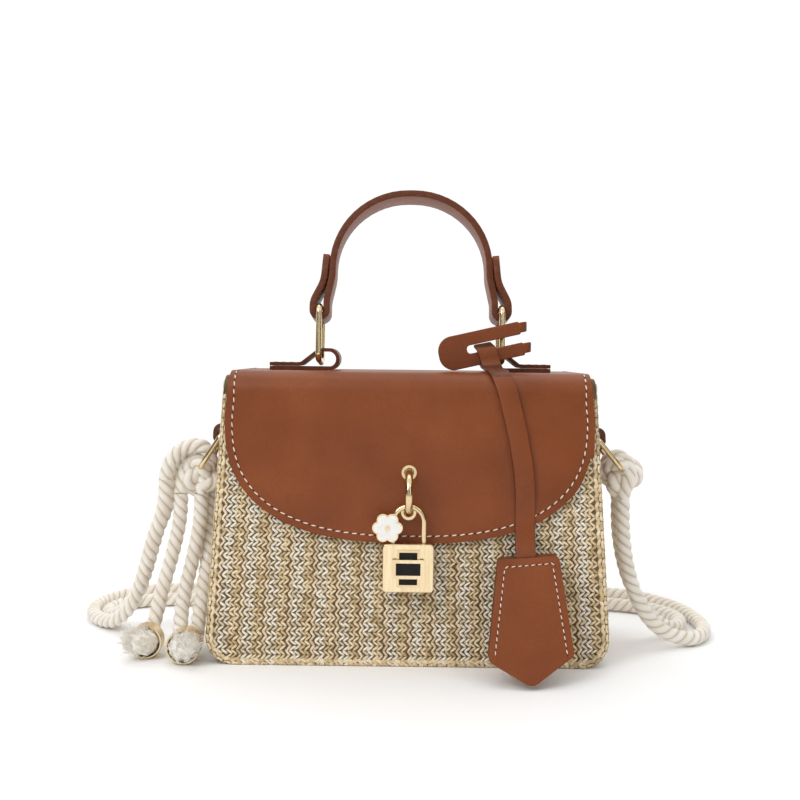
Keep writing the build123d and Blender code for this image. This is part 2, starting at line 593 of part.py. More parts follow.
tail_one_route = [
    (-126.5, -8, KNOT_LOW), (-126.5, -8, 75), (-129.5, -8.5, 62), (-133.5, -9.5, 48.5), (-137.5, -11, 35),
    (-140.5, -14.5, 22), (-142, -24, CAP_Z),
]
tail_two_route = [
    (-117, -3, KNOT_LOW), (-117, -3, 74), (-118.5, -4, 61), (-121.5, -7, 47), (-124.5, -12, 34),
    (-125.5, -20, 21.5), (-123.9, -33, CAP_Z),
]
tail_three_route = [
    (-113, 7, KNOT_LOW), (-113, 7, 74), (-112, 5, 61), (-112, 0, 47.5), (-112.5, -7, 34.5),
    (-113.5, -17, 22), (-115.1, -33, CAP_Z),
]


def rope(name, route):
    """A rope along a hand-chosen route, with each corner as round as its runs allow."""
    spots = [Vector(*point) for point in route]
    radii = []
    for before, here, after in zip(spots, spots[1:], spots[2:]):
        turn = math.radians((here - before).get_angle(after - here))
        shorter = min((here - before).length, (after - here).length)
        radii.append(0.45 * shorter / math.tan(turn / 2))
    path = FilletPolyline(*spots, radius=radii)
    tube = wire_along(path, ROPE)
    share = tube.volume / (math.pi * ROPE ** 2 * path.length)
    print(f"{name}: length {path.length:.1f}, least radius {min(radii):.1f}, volume share {share:.4f}")
    print("   radii", [round(radius) for radius in radii])
    return tube


strap_strand_outer = rope("strap_strand_outer", outer_route)
strap_strand_inner = rope("strap_strand_inner", inner_route)
tail_one = rope("tail_one", tail_one_route)
tail_two = rope("tail_two", tail_two_route)
tail_three = rope("tail_three", tail_three_route)


def end_cap(spot, back_half):
    """A metal cup that holds rope ends, lying on the floor with its mouth to the front."""
    cup_wall = 0.8
    profile = Polyline((0, 0), (back_half, 0), (CAP_RADIUS, 5), (CAP_RADIUS, CAP_LENGTH),
                       (CAP_RADIUS - cup_wall, CAP_LENGTH), (CAP_RADIUS - cup_wall, 5.5),
                       (back_half - 0.3, cup_wall), (0, cup_wall), close=True)
    cup = revolve(make_face(profile), axis=Axis.Y)
    return Pos(*spot) * Rot(0, 0, 180) * cup


def tuft(spot):
    """Frayed cotton that fills a cup and spills out in front."""
    cup_wall = 0.8
    mouth = CAP_RADIUS - cup_wall - FIT
    outline = Polyline((0, 6.2), (mouth, 6.2), (mouth, CAP_LENGTH + 0.2), (mouth + 2.2, CAP_LENGTH + 3.5),
                       (mouth + 2.2, CAP_LENGTH + 9), (mouth - 2.5, CAP_LENGTH + 14), (0, CAP_LENGTH + 15),
                       close=True)
    shape = Pos(*spot) * Rot(0, 0, 180) * revolve(make_face(outline), axis=Axis.Y)
    return shape - box((-400, -400, -50), (400, 400, 0.2))


end_cap_one = end_cap(cap_one, 6.5)
end_cap_two = end_cap(cap_two, CAP_RADIUS - 0.4)
tuft_one = tuft(cap_one)
tuft_two = tuft(cap_two)

# ---------------------------------------------------------------- write
NODES = {
    "front_panel": front_panel, "back_panel": back_panel, "gusset": gusset, "base_board": base_board,
    "lining": lining, "back_band": back_band, "left_snap_socket": snap_socket[-1],
    "right_snap_socket": snap_socket[1], "left_side_tab": left_side_tab, "right_side_tab": right_side_tab,
    "flap": flap, "upper_eyelet": upper_eyelet, "lower_eyelet": lower_eyelet, "hasp_loop": hasp_loop,
    "hasp_plate": hasp_plate, "left_snap_stud": snap_stud[-1], "right_snap_stud": snap_stud[1],
    "left_top_tab": left_top_tab, "right_top_tab": right_top_tab,
    "left_handle_ring": left_handle_ring, "right_handle_ring": right_handle_ring,
    "handle_strap": handle_strap, "padlock_case": padlock_case, "padlock_back": padlock_back,
    "lock_slot_frame": lock_slot_frame, "lock_slot_inlay": lock_slot_inlay, "lock_slider": lock_slider,
    "lock_slider_inlay": lock_slider_inlay, "lock_catch": lock_catch, "shackle": shackle,
    "flower_charm": flower_charm, "charm_enamel": charm_enamel, "charm_centre": charm_centre,
    "tag_head": tag_head, "tag_strap": tag_strap, "bell_back_leaf": bell_back_leaf,
    "bell_front_leaf": bell_front_leaf, "left_side_ring": left_side_ring, "right_side_ring": right_side_ring,
    "left_knot": left_knot, "right_knot": right_knot, "strap_strand_outer": strap_strand_outer,
    "strap_strand_inner": strap_strand_inner, "tail_one": tail_one, "tail_two": tail_two,
    "tail_three": tail_three, "end_cap_one": end_cap_one, "end_cap_two": end_cap_two,
    "tuft_one": tuft_one, "tuft_two": tuft_two,
}
os.makedirs("parts", exist_ok=True)
for name, shape in NODES.items():
    export_step(shape, f"parts/{name}.step")
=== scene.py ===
import math
import random
import bmesh
import bpy
from mathutils import Matrix, Vector


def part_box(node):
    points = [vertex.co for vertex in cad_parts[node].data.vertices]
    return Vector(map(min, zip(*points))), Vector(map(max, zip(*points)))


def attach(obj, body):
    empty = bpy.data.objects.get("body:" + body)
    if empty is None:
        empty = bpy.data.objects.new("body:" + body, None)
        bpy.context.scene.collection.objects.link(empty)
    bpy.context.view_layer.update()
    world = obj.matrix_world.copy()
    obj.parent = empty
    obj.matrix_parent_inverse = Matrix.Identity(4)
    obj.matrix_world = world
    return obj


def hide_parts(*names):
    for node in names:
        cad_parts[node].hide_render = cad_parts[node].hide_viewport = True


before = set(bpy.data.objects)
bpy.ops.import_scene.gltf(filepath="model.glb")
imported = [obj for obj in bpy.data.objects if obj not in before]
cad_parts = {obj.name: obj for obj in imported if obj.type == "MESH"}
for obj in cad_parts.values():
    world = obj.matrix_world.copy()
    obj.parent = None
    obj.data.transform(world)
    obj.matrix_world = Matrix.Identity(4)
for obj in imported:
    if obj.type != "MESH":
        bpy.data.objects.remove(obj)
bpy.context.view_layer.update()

# ---------------------------------------------------------------- the room
# A pale plain table top, soft lamps from the left, the right and above, and a camera
# a little over half a metre away, level with the upper edge of the bag.
CAMERA_PLACE = (-0.0028, -0.5637, 0.1675)
CAMERA_LENS = 44.46
CAMERA_DOWN = 2.76
CAMERA_TURN = -0.27
CAMERA_ROLL = 0.64


def add(tree, kind, inputs=None, **settings):
    """Adds a node. inputs maps a socket's name or number to a value, a socket or another node."""
    node = tree.nodes.new(kind)
    for key, value in settings.items():
        setattr(node, key, value)
    for key, value in (inputs or {}).items():
        if isinstance(value, bpy.types.Node):
            value = value.outputs[0]
        if isinstance(value, bpy.types.NodeSocket):
            tree.links.new(value, node.inputs[key])
        else:
            node.inputs[key].default_value = value
    return node


def finish_of(name, color, roughness, normal=None, **sockets):
    """A material whose colour and roughness may be values or sockets made by tune(tree)."""
    material = bpy.data.materials.new(name)
    material.use_nodes = True
    tree = material.node_tree
    shader = tree.nodes["Principled BSDF"]
    for key, value in (("Base Color", color), ("Roughness", roughness), ("Normal", normal)):
        if callable(value):
            tree.links.new(value(tree), shader.inputs[key])
        elif value is not None:
            shader.inputs[key].default_value = (*value, 1) if key == "Base Color" else value
    for key, value in sockets.items():
        shader.inputs[key.replace("_", " ")].default_value = value
    return material


def place(name, mesh):
    piece = bpy.data.objects.new(name, mesh)
    bpy.context.collection.objects.link(piece)
    return piece


def mesh_of(name, points, faces=(), edges=()):
    mesh = bpy.data.meshes.new(name)
    mesh.from_pydata(points, edges, faces)
    return mesh


def object_noise(tree, scale, detail=3.0, stretch=(1, 1, 1), roughness=0.55):
    coordinates = add(tree, "ShaderNodeTexCoord")
    mapping = add(tree, "ShaderNodeMapping", {"Vector": coordinates.outputs["Object"], "Scale": stretch})
    return add(tree, "ShaderNodeTexNoise", {"Vector": mapping, "Scale": scale, "Detail": detail,
                                            "Roughness": roughness})


def ramp(tree, factor, stops):
    node = add(tree, "ShaderNodeValToRGB", {"Fac": factor})
    band = node.color_ramp
    while len(band.elements) < len(stops):
        band.elements.new(0.5)
    for element, (where, color) in zip(band.elements, stops):
        element.position = where
        element.color = (*color, 1)
    return node


def bump(tree, height, distance, strength=1.0, over=None):
    inputs = {"Height": height, "Distance": distance, "Strength": strength}
    if over is not None:
        inputs["Normal"] = over
    return add(tree, "ShaderNodeBump", inputs)


def mottled(scale, dark, light, detail=3.0, stretch=(1, 1, 1), low=0.3, high=0.7):
    """A colour that wanders between two shades over a piece."""
    def color(tree):
        cloud = object_noise(tree, scale, detail, stretch)
        return ramp(tree, cloud, [(low, dark), (high, light)]).outputs[0]
    return color


def roughened(scale, depth, strength, detail=3.0, stretch=(1, 1, 1)):
    """A surface raised and sunk by fine noise."""
    def normal(tree):
        cloud = object_noise(tree, scale, detail, stretch).outputs["Fac"]
        return bump(tree, cloud, depth, strength).outputs[0]
    return normal


def uneven_gloss(scale, low, high):
    """A roughness that wanders between two values."""
    def gloss(tree):
        cloud = object_noise(tree, scale, 4.0).outputs["Fac"]
        return add(tree, "ShaderNodeMapRange", {"Value": cloud, "To Min": low, "To Max": high}).outputs[0]
    return gloss


FLOOR_HALF = 6.0
floor = place("floor", mesh_of("floor", [(-FLOOR_HALF, -FLOOR_HALF, 0), (FLOOR_HALF, -FLOOR_HALF, 0),
                                         (FLOOR_HALF, FLOOR_HALF, 0), (-FLOOR_HALF, FLOOR_HALF, 0)],
                               [(0, 1, 2, 3)]))
paper = mottled(3.0, (0.95, 0.95, 0.95), (0.97, 0.97, 0.97))
floor.data.materials.append(finish_of("pale_paper", paper, 0.9, Specular_IOR_Level=0.0))

sky = bpy.data.worlds.new("studio")
sky.use_nodes = True
sky.node_tree.nodes["Background"].inputs["Color"].default_value = (1.0, 1.0, 1.0, 1)
sky.node_tree.nodes["Background"].inputs["Strength"].default_value = 1.04
bpy.context.scene.world = sky
bpy.context.scene.view_settings.view_transform = "Standard"


# dark cards behind the camera and at both sides give the metal something to mirror
CARD_BACK = -1.15
CARD_TOP = 0.95
SIDE_CARD = 0.95
SIDE_CARD_TOP = 0.75
dark_paper = mottled(2.0, (0.03, 0.03, 0.03), (0.05, 0.045, 0.04))
card_finish = finish_of("dark_card", dark_paper, 0.9, Specular_IOR_Level=0.0)
card_feet = [((-SIDE_CARD, -0.75, 0.02), (-SIDE_CARD, 0.15, 0.02), SIDE_CARD_TOP),
             ((SIDE_CARD, -0.75, 0.02), (SIDE_CARD, 0.15, 0.02), SIDE_CARD_TOP),
             ((-1.1, CARD_BACK, 0.0), (-0.28, CARD_BACK, 0.0), CARD_TOP),
             ((0.2, CARD_BACK, 0.0), (0.85, CARD_BACK, 0.0), CARD_TOP)]
for number, (foot, other_foot, top) in enumerate(card_feet):
    corners = [foot, other_foot, (*other_foot[:2], top), (*foot[:2], top)]
    card = place(f"card_{number}", mesh_of(f"card_{number}", corners, [(0, 1, 2, 3)]))
    card.data.materials.append(card_finish)
    card.visible_camera = False


def lamp(name, where, towards, size, power):
    light = bpy.data.lights.new(name, "AREA")
    light.shape = "RECTANGLE"
    light.size, light.size_y = size
    light.energy = power
    holder = place(name, light)
    holder.location = where
    holder.rotation_euler = (Vector(towards) - Vector(where)).to_track_quat("-Z", "Y").to_euler()


lamp("key_lamp", (-0.75, -0.95, 0.95), (0, 0, 0.08), (0.7, 0.7), 8.0)
lamp("fill_lamp", (1.0, -0.8, 0.6), (0, 0, 0.08), (0.9, 0.9), 1.6)
lamp("top_lamp", (0.0, 0.25, 1.25), (0, 0, 0.1), (1.1, 0.8), 2.5)

camera = place("camera", bpy.data.cameras.new("camera"))
camera.data.lens = CAMERA_LENS
camera.data.sensor_width = 36.0
camera.location = CAMERA_PLACE
turned = Matrix.Rotation(math.radians(-CAMERA_TURN), 3, "Z")
tilted = Matrix.Rotation(math.radians(90 - CAMERA_DOWN), 3, "X")
rolled = Matrix.Rotation(math.radians(CAMERA_ROLL), 3, "Z")
camera.rotation_euler = (turned @ tilted @ rolled).to_euler()
bpy.context.scene.camera = camera

# ---------------------------------------------------------------- rope strap
# Soft cotton rope of three laid strands, 8 mm thick, knotted on the rings at both sides.
# Both strands of the strap lie on the table behind the bag; three loose ends hang at the left.
ROPE_SKIN = 0.0042      # how far the strands' backs stand out
KNOT_ROPE = 0.0043      # the same where the rope is bunched in a knot
ROPE_LAY = 0.017        # length of one whole turn of the strands
GROOVE = 0.79           # radius in the groove between strands, as a share of the whole
outer_route = [
    (0.1215, -0.0065, 0.086), (0.1215, -0.0065, 0.071), (0.123, -0.0068, 0.056),
    (0.126, -0.007, 0.0415), (0.131, -0.007, 0.028), (0.1385, -0.0065, 0.016), (0.149, -0.005, 0.008),
    (0.163, -0.0015, 0.0043), (0.1715, 0.0065, 0.0043), (0.1775, 0.019, 0.0043),
    (0.1795, 0.034, 0.0043), (0.179, 0.05, 0.0043), (0.1755, 0.067, 0.0043), (0.168, 0.083, 0.0043),
    (0.158, 0.097, 0.0043), (0.139, 0.107, 0.0043), (0.11, 0.112, 0.0043), (0.07, 0.117, 0.0043),
    (0.01, 0.113, 0.0043), (-0.05, 0.117, 0.0043), (-0.092, 0.11, 0.0043), (-0.121, 0.106, 0.0043),
    (-0.145, 0.1065, 0.0043), (-0.166, 0.104, 0.0043), (-0.179, 0.096, 0.0043),
    (-0.1905, 0.0835, 0.0043), (-0.1965, 0.0675, 0.0043), (-0.197, 0.05, 0.0043),
    (-0.1915, 0.034, 0.0043), (-0.182, 0.022, 0.0043), (-0.172, 0.0135, 0.007),
    (-0.1615, 0.008, 0.017), (-0.155, 0.004, 0.031), (-0.15, 0.0005, 0.047), (-0.1455, -0.003, 0.061),
    (-0.141, -0.0055, 0.072), (-0.138, -0.0065, 0.083), (-0.138, -0.0065, 0.094),
]
inner_route = [
    (0.1215, 0.0065, 0.086), (0.1215, 0.0065, 0.071), (0.1235, 0.0068, 0.056), (0.127, 0.0072, 0.042),
    (0.1325, 0.008, 0.029), (0.14, 0.01, 0.0175), (0.1495, 0.014, 0.0085), (0.16, 0.021, 0.0043),
    (0.167, 0.0325, 0.0043), (0.1685, 0.046, 0.0043), (0.163, 0.0595, 0.0043),
    (0.152, 0.07, 0.0043), (0.136, 0.077, 0.0043), (0.11, 0.081, 0.0043), (0.07, 0.086, 0.0043),
    (0.01, 0.085, 0.0043), (-0.05, 0.088, 0.0043), (-0.092, 0.081, 0.0043),
    (-0.118, 0.0775, 0.0043), (-0.138, 0.0768, 0.0043), (-0.154, 0.0765, 0.0043),
    (-0.167, 0.0735, 0.0043), (-0.179, 0.0665, 0.0043), (-0.186, 0.0545, 0.0043),
    (-0.186, 0.041, 0.0043), (-0.179, 0.0295, 0.005), (-0.1685, 0.0215, 0.012),
    (-0.16, 0.0165, 0.0225), (-0.1545, 0.013, 0.0355), (-0.15, 0.01, 0.05), (-0.146, 0.008, 0.063),
    (-0.1415, 0.0068, 0.073), (-0.138, 0.0065, 0.083), (-0.138, 0.0065, 0.094),
]
tail_one_route = [
    (-0.1295, -0.0045, 0.086), (-0.1295, -0.0048, 0.075), (-0.1315, -0.006, 0.062),
    (-0.1345, -0.0085, 0.0485), (-0.138, -0.011, 0.035), (-0.1405, -0.0145, 0.022),
    (-0.142, -0.024, 0.0093),
]
tail_two_route = [
    (-0.1180, -0.0055, 0.086), (-0.1180, -0.0055, 0.074), (-0.1198, -0.006, 0.061),
    (-0.1225, -0.0085, 0.047), (-0.1252, -0.0125, 0.034), (-0.1262, -0.02, 0.0215),
    (-0.1239, -0.033, 0.0093),
]
tail_three_route = [
    (-0.1145, 0.003, 0.086), (-0.1145, 0.003, 0.074), (-0.1142, 0.001, 0.061), (-0.1146, -0.004, 0.0475),
    (-0.1152, -0.011, 0.0345), (-0.1158, -0.020, 0.022), (-0.1151, -0.033, 0.0093),
]


def attribute(tree, name, kind="GEOMETRY"):
    return add(tree, "ShaderNodeAttribute", attribute_type=kind, attribute_name=name)


def cotton_color(tree):
    # the cream turns tan down into the grooves between the strands: painted shade in the grooves
    groove = attribute(tree, "rope_rise").outputs["Fac"]
    blotch = ramp(tree, object_noise(tree, 90.0, 4.0), [(0.3, (0.90, 0.86, 0.80)), (0.65, (1.0, 1.0, 1.0))])
    ivory_and_groove_shade = ramp(tree, groove, [(0.0, (0.56, 0.47, 0.36)), (0.3, (0.82, 0.75, 0.64)),
                                (1.0, (0.94, 0.90, 0.84))])
    return add(tree, "ShaderNodeMix", {0: 0.8, 6: ivory_and_groove_shade, 7: blotch}, data_type="RGBA",
               blend_type="MULTIPLY").outputs[2]


def yarn_bump(tree):
    lay = attribute(tree, "rope_uv").outputs["Vector"]
    yarn = add(tree, "ShaderNodeMapping", {"Vector": lay, "Scale": (14.0, 160.0, 1.0)})
    fibre = add(tree, "ShaderNodeTexNoise", {"Vector": yarn, "Scale": 3.0, "Detail": 4.0, "Roughness": 0.6})
    fuzz = object_noise(tree, 2600.0, 3.0)
    first = bump(tree, fibre.outputs["Fac"], 0.0003, 0.5)
    return bump(tree, fuzz.outputs["Fac"], 0.00012, 0.4, first.outputs[0]).outputs[0]


cotton = finish_of("laid_cotton", cotton_color, 0.95, yarn_bump, Sheen_Weight=0.35, Sheen_Roughness=0.6,
                   Specular_IOR_Level=0.2)


def node_tree(name, sockets):
    """A Geometry Nodes tree with named inputs. Returns the tree, its inputs by name and its end."""
    tree = bpy.data.node_groups.new(name, "GeometryNodeTree")
    tree.interface.new_socket("Geometry", in_out="INPUT", socket_type="NodeSocketGeometry")
    for label, kind, value in sockets:
        socket = tree.interface.new_socket(label, in_out="INPUT", socket_type="NodeSocket" + kind)
        if value is not None:
            socket.default_value = value
    tree.interface.new_socket("Geometry", in_out="OUTPUT", socket_type="NodeSocketGeometry")
    start = tree.nodes.new("NodeGroupInput")
    end = tree.nodes.new("NodeGroupOutput")
    return tree, {socket.name: socket for socket in start.outputs}, end


def calc(tree, operation, *values):
    return add(tree, "ShaderNodeMath", dict(enumerate(values)), operation=operation).outputs[0]


def keep(tree, geometry, name, value, kind="FLOAT", domain="POINT"):
    return add(tree, "GeometryNodeStoreNamedAttribute",
               {"Geometry": geometry, "Name": name, "Value": value}, data_type=kind, domain=domain)


def close_tree(tree, end, geometry, material):
    """Ends a tree: smooth shading, real copies and the finish."""
    smooth = add(tree, "GeometryNodeSetShadeSmooth", {"Geometry": geometry})
    real = add(tree, "GeometryNodeRealizeInstances", {"Geometry": smooth})
    painted = add(tree, "GeometryNodeSetMaterial", {"Geometry": real, "Material": material})
    tree.links.new(painted.outputs[0], end.inputs[0])


def grown(name, tree, base, **values):
    """Runs a tree on a base mesh and returns the result as a piece with a plain mesh."""
    carrier = place(name + "_base", base)
    modifier = carrier.modifiers.new("grow", "NODES")
    modifier.node_group = tree
    for item in tree.interface.items_tree:
        label = item.name.replace(" ", "_")
        if item.in_out == "INPUT" and label in values:
            modifier[item.identifier] = values[label]
    ready = carrier.evaluated_get(bpy.context.evaluated_depsgraph_get())
    mesh = bpy.data.meshes.new_from_object(ready)
    bpy.data.objects.remove(carrier)
    mesh.name = name
    return place(name, mesh)


def laid_rope_tree():
    """A line becomes a rope of three strands laid round each other."""
    tree, given, end = node_tree("laid rope", [
        ("Radius", "Float", ROPE_SKIN), ("Lay", "Float", ROPE_LAY), ("Step", "Float", 0.0007),
        ("Sides", "Int", 24), ("Closed ends", "Bool", True), ("Finish", "Material", None)])
    line = add(tree, "GeometryNodeMeshToCurve", {"Mesh": given["Geometry"]})
    even = add(tree, "GeometryNodeResampleCurve", {"Curve": line, "Length": given["Step"]}, mode="LENGTH")
    run = add(tree, "GeometryNodeSplineParameter")
    turn = calc(tree, "MULTIPLY", calc(tree, "DIVIDE", run.outputs["Length"], given["Lay"]), -2 * math.pi)
    laid = add(tree, "GeometryNodeSetCurveTilt", {"Curve": even, "Tilt": turn})
    marked = keep(tree, laid, "rope_along", run.outputs["Length"])
    ring = add(tree, "GeometryNodeCurvePrimitiveCircle", {"Resolution": given["Sides"],
                                                          "Radius": given["Radius"]})
    angle = calc(tree, "MULTIPLY", add(tree, "GeometryNodeSplineParameter").outputs["Factor"], 2 * math.pi)
    folded = calc(tree, "WRAP", angle, math.pi / 3, -math.pi / 3)
    across = calc(tree, "SINE", folded)
    rise = calc(tree, "ADD", calc(tree, "COSINE", folded),
                calc(tree, "SQRT", calc(tree, "SUBTRACT", 1.0, calc(tree, "MULTIPLY", across, across))))
    share = calc(tree, "MULTIPLY_ADD", rise, 1 - GROOVE, 2 * GROOVE - 1)
    spot = add(tree, "GeometryNodeInputPosition")
    lobed = add(tree, "ShaderNodeVectorMath", {0: spot, "Scale": share}, operation="SCALE")
    profile = add(tree, "GeometryNodeSetPosition", {"Geometry": ring, "Position": lobed})
    profile = keep(tree, profile, "rope_rise", calc(tree, "SUBTRACT", rise, 1.0))
    profile = keep(tree, profile, "rope_round", angle)
    skin = add(tree, "GeometryNodeCurveToMesh", {"Curve": marked, "Profile Curve": profile,
                                                 "Fill Caps": given["Closed ends"]})
    along = add(tree, "GeometryNodeInputNamedAttribute", {"Name": "rope_along"}, data_type="FLOAT")
    around = add(tree, "GeometryNodeInputNamedAttribute", {"Name": "rope_round"}, data_type="FLOAT")
    both = add(tree, "ShaderNodeCombineXYZ", {"X": around, "Y": along})
    lettered = keep(tree, skin, "rope_uv", both, "FLOAT_VECTOR")
    close_tree(tree, end, lettered, given["Finish"])
    return tree


laid_rope = laid_rope_tree()


def smooth_line(name, route, closed=False):
    """The rope's own line: a smooth spline that the points steer, read as a plain mesh line."""
    curve = bpy.data.curves.new(name, "CURVE")
    curve.dimensions = "3D"
    curve.resolution_u = 10
    spline = curve.splines.new("NURBS")
    spline.points.add(len(route) - 1)
    for point, spot in zip(spline.points, route):
        point.co = (*spot, 1)
    spline.order_u = 3
    spline.use_endpoint_u = not closed
    spline.use_cyclic_u = closed
    holder = place(name + "_line", curve)
    mesh = bpy.data.meshes.new_from_object(holder)
    bpy.data.objects.remove(holder)
    return mesh


def rope_piece(name, route, radius=ROPE_SKIN, closed=False):
    """A rope along a route, and the line that it follows."""
    line = smooth_line(name, route, closed)
    path = [tuple(vertex.co) for vertex in line.vertices]
    piece = grown(name, laid_rope, line, Radius=radius, Lay=ROPE_LAY, Finish=cotton)
    return piece, path


# knots: a tight turn of the same rope round each ring, and at the left a high arch over the ring
def knot_route(centre, wide, deep, high, turn):
    """A closed overhand knot, drawn round a centre and squeezed to its size."""
    spots = []
    for step in range(24):
        t = 2 * math.pi * step / 24
        reach = 1 + 0.52 * math.cos(3 * t)
        x = reach * math.cos(2 * t + turn)
        z = reach * math.sin(2 * t + turn)
        spots.append((centre[0] + wide * x, centre[1] + deep * math.sin(3 * t), centre[2] + high * z))
    return spots


def joined(name, pieces):
    """Several pieces made one."""
    whole = bmesh.new()
    for piece in pieces:
        whole.from_mesh(piece.data)
    mesh = bpy.data.meshes.new(name)
    materials = [slot for slot in pieces[0].data.materials]
    whole.to_mesh(mesh)
    whole.free()
    for material in materials:
        mesh.materials.append(material)
    for piece in pieces:
        bpy.data.objects.remove(piece)
    return place(name, mesh)


right_turns = [rope_piece("right_turn_a", knot_route((0.1212, 0.0, 0.0985), 0.0062, 0.0068, 0.0066, 0.6),
                          KNOT_ROPE, closed=True)[0]]
right_over = [(0.1215, -0.0065, 0.086), (0.1216, -0.0078, 0.092), (0.125, -0.0082, 0.099),
              (0.1245, -0.005, 0.1065), (0.119, -0.001, 0.1105), (0.114, 0.003, 0.107),
              (0.1135, 0.0062, 0.099), (0.1185, 0.0066, 0.092), (0.1215, 0.0065, 0.086)]
right_turns.append(rope_piece("right_turn_b", right_over)[0])
right_knot = joined("right_rope_knot", right_turns)

left_turns = [rope_piece("left_turn_a", knot_route((-0.1185, 0.0, 0.0955), 0.0056, 0.0066, 0.0062, 2.2),
                         KNOT_ROPE, closed=True)[0]]
front_arch = [(-0.138, -0.0065, 0.094), (-0.1372, -0.0064, 0.1), (-0.134, -0.0058, 0.1075),
              (-0.1275, -0.0048, 0.1128), (-0.1195, -0.0035, 0.1142), (-0.1135, -0.0018, 0.1095),
              (-0.1125, 0.0, 0.101), (-0.1165, 0.001, 0.0945)]
rear_arch = [(-0.138, 0.0065, 0.094), (-0.1368, 0.0064, 0.1), (-0.1325, 0.006, 0.106),
             (-0.1265, 0.0055, 0.1095), (-0.1195, 0.0052, 0.1095), (-0.115, 0.0048, 0.1035),
             (-0.1165, 0.0045, 0.096)]
tail_one_end = [tail_one_route[0], (-0.1292, -0.0035, 0.093), (-0.1265, 0.0, 0.1015),
                (-0.12, 0.003, 0.1065)]
tail_two_end = [tail_two_route[0], (-0.1163, -0.005, 0.0925), (-0.1175, -0.0015, 0.1),
                (-0.12, 0.001, 0.1045)]
tail_three_end = [tail_three_route[0], (-0.1135, 0.0042, 0.0925), (-0.116, 0.0038, 0.099),
                  (-0.119, 0.003, 0.103)]
for number, route in enumerate((front_arch, rear_arch, tail_one_end, tail_two_end, tail_three_end)):
    left_turns.append(rope_piece(f"left_turn_{number}", route)[0])
left_knot = joined("left_rope_knot", left_turns)

# ---------------------------------------------------------------- cups and frayed ends
# The loose ends are pushed into small metal cups, with their cotton frayed out of the mouths.
random.seed(11)


def frayed_color(tree):
    stops = [(0.25, (0.82, 0.73, 0.60)), (0.5, (0.95, 0.91, 0.83)), (0.7, (0.97, 0.95, 0.91))]
    return ramp(tree, object_noise(tree, 420.0, 4.0), stops).outputs[0]


frayed = finish_of("frayed_cotton", frayed_color, 0.95, Sheen_Weight=0.4, Specular_IOR_Level=0.1)


def fibre_tree():
    """Every line becomes a thin limp fibre."""
    tree, given, end = node_tree("frayed fibres", [
        ("Thickness", "Float", 0.0002), ("Sides", "Int", 3), ("Finish", "Material", None)])
    line = add(tree, "GeometryNodeMeshToCurve", {"Mesh": given["Geometry"]})
    ring = add(tree, "GeometryNodeCurvePrimitiveCircle", {"Resolution": given["Sides"],
                                                          "Radius": given["Thickness"]})
    skin = add(tree, "GeometryNodeCurveToMesh", {"Curve": line, "Profile Curve": ring, "Fill Caps": True})
    close_tree(tree, end, skin, given["Finish"])
    return tree


fibres = fibre_tree()
CUP_RADIUS = 0.009
CUP_LENGTH = 0.013
MOUTH = CUP_RADIUS - 0.0017


PUFF = (MOUTH, 0.0092, MOUTH - 0.0004)
FIBRE = 0.00016
FIBRE_STEPS = 5


def puff_spot(cup, lean, way):
    """A point on the lumpy puff of cotton that fills a cup's mouth and leans to one side."""
    ripple = 1 + 0.11 * math.sin(9 * way.x + 4 * way.z) * math.sin(8 * way.z + 3 * way.y)
    spot = Vector((way.x * PUFF[0], way.y * PUFF[1], way.z * PUFF[2])) * ripple
    spot += Vector(cup) + Vector((0, -CUP_LENGTH + 0.0005, 0))
    if way.y < 0:
        spot += lean * 0.9 * -way.y
    spot.z = max(spot.z, 0.0006)
    return spot


def tuft(name, cup, lean, count=600):
    """Short fibres that stand out of the puff and curl over, most of them to one side."""
    points, edges = [], []
    for _ in range(count):
        way = Vector((random.gauss(0, 1), -abs(random.gauss(0, 1)) - 0.05, random.gauss(0, 1))).normalized()
        start = puff_spot(cup, lean, way)
        sweep = Vector((random.gauss(0, 0.7), random.gauss(0, 0.4), random.gauss(0, 0.7))) + lean * 160
        length = random.uniform(0.0012, 0.0036)
        first = len(points)
        for step in range(FIBRE_STEPS + 1):
            run = step / FIBRE_STEPS
            spot = start + way * length * (0.75 * run - 0.4 * run ** 2) + sweep * length * 0.6 * run ** 1.6
            spot.z = max(spot.z, 0.0004)
            points.append(spot)
            if step:
                edges.append((first + step - 1, first + step))
    return grown(name, fibres, mesh_of(name, points, edges=edges), Thickness=FIBRE, Finish=frayed)


def tuft_heart(name, cup, lean):
    """The dense cotton under the loose fibres."""
    heart = bmesh.new()
    bmesh.ops.create_icosphere(heart, subdivisions=4, radius=1.0)
    for vertex in heart.verts:
        vertex.co = puff_spot(cup, lean, vertex.co.normalized())
    for face in heart.faces:
        face.smooth = True
    mesh = bpy.data.meshes.new(name)
    heart.to_mesh(mesh)
    heart.free()
    mesh.materials.append(frayed)
    return place(name, mesh)


cup_one = tail_one_route[-1]
cup_two = (-0.1195, -0.033, 0.0093)
for name, cup, lean in (("tuft_one", cup_one, Vector((-0.0058, 0, 0.0030))),
                        ("tuft_two", cup_two, Vector((0.0046, 0, 0.0036)))):
    parts = [tuft(name + "_fibres", cup, lean), tuft_heart(name + "_heart", cup, lean)]
    piece = joined("frayed_" + name, parts)
    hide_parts(name)
    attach(piece, "root")

strands = (("strap_strand_outer", outer_route, "object"), ("strap_strand_inner", inner_route, "object"),
           ("tail_one", tail_one_route, "fitting"), ("tail_two", tail_two_route, "fitting"),
           ("tail_three", tail_three_route, "fitting"))
for name, route, far_end in strands:
    piece, path = rope_piece(name + "_rope", route)
    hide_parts(name)
    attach(piece, "root")
for piece, node, body in ((left_knot, "left_knot", "left_ring"), (right_knot, "right_knot", "right_ring")):
    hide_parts(node)
    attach(piece, body)

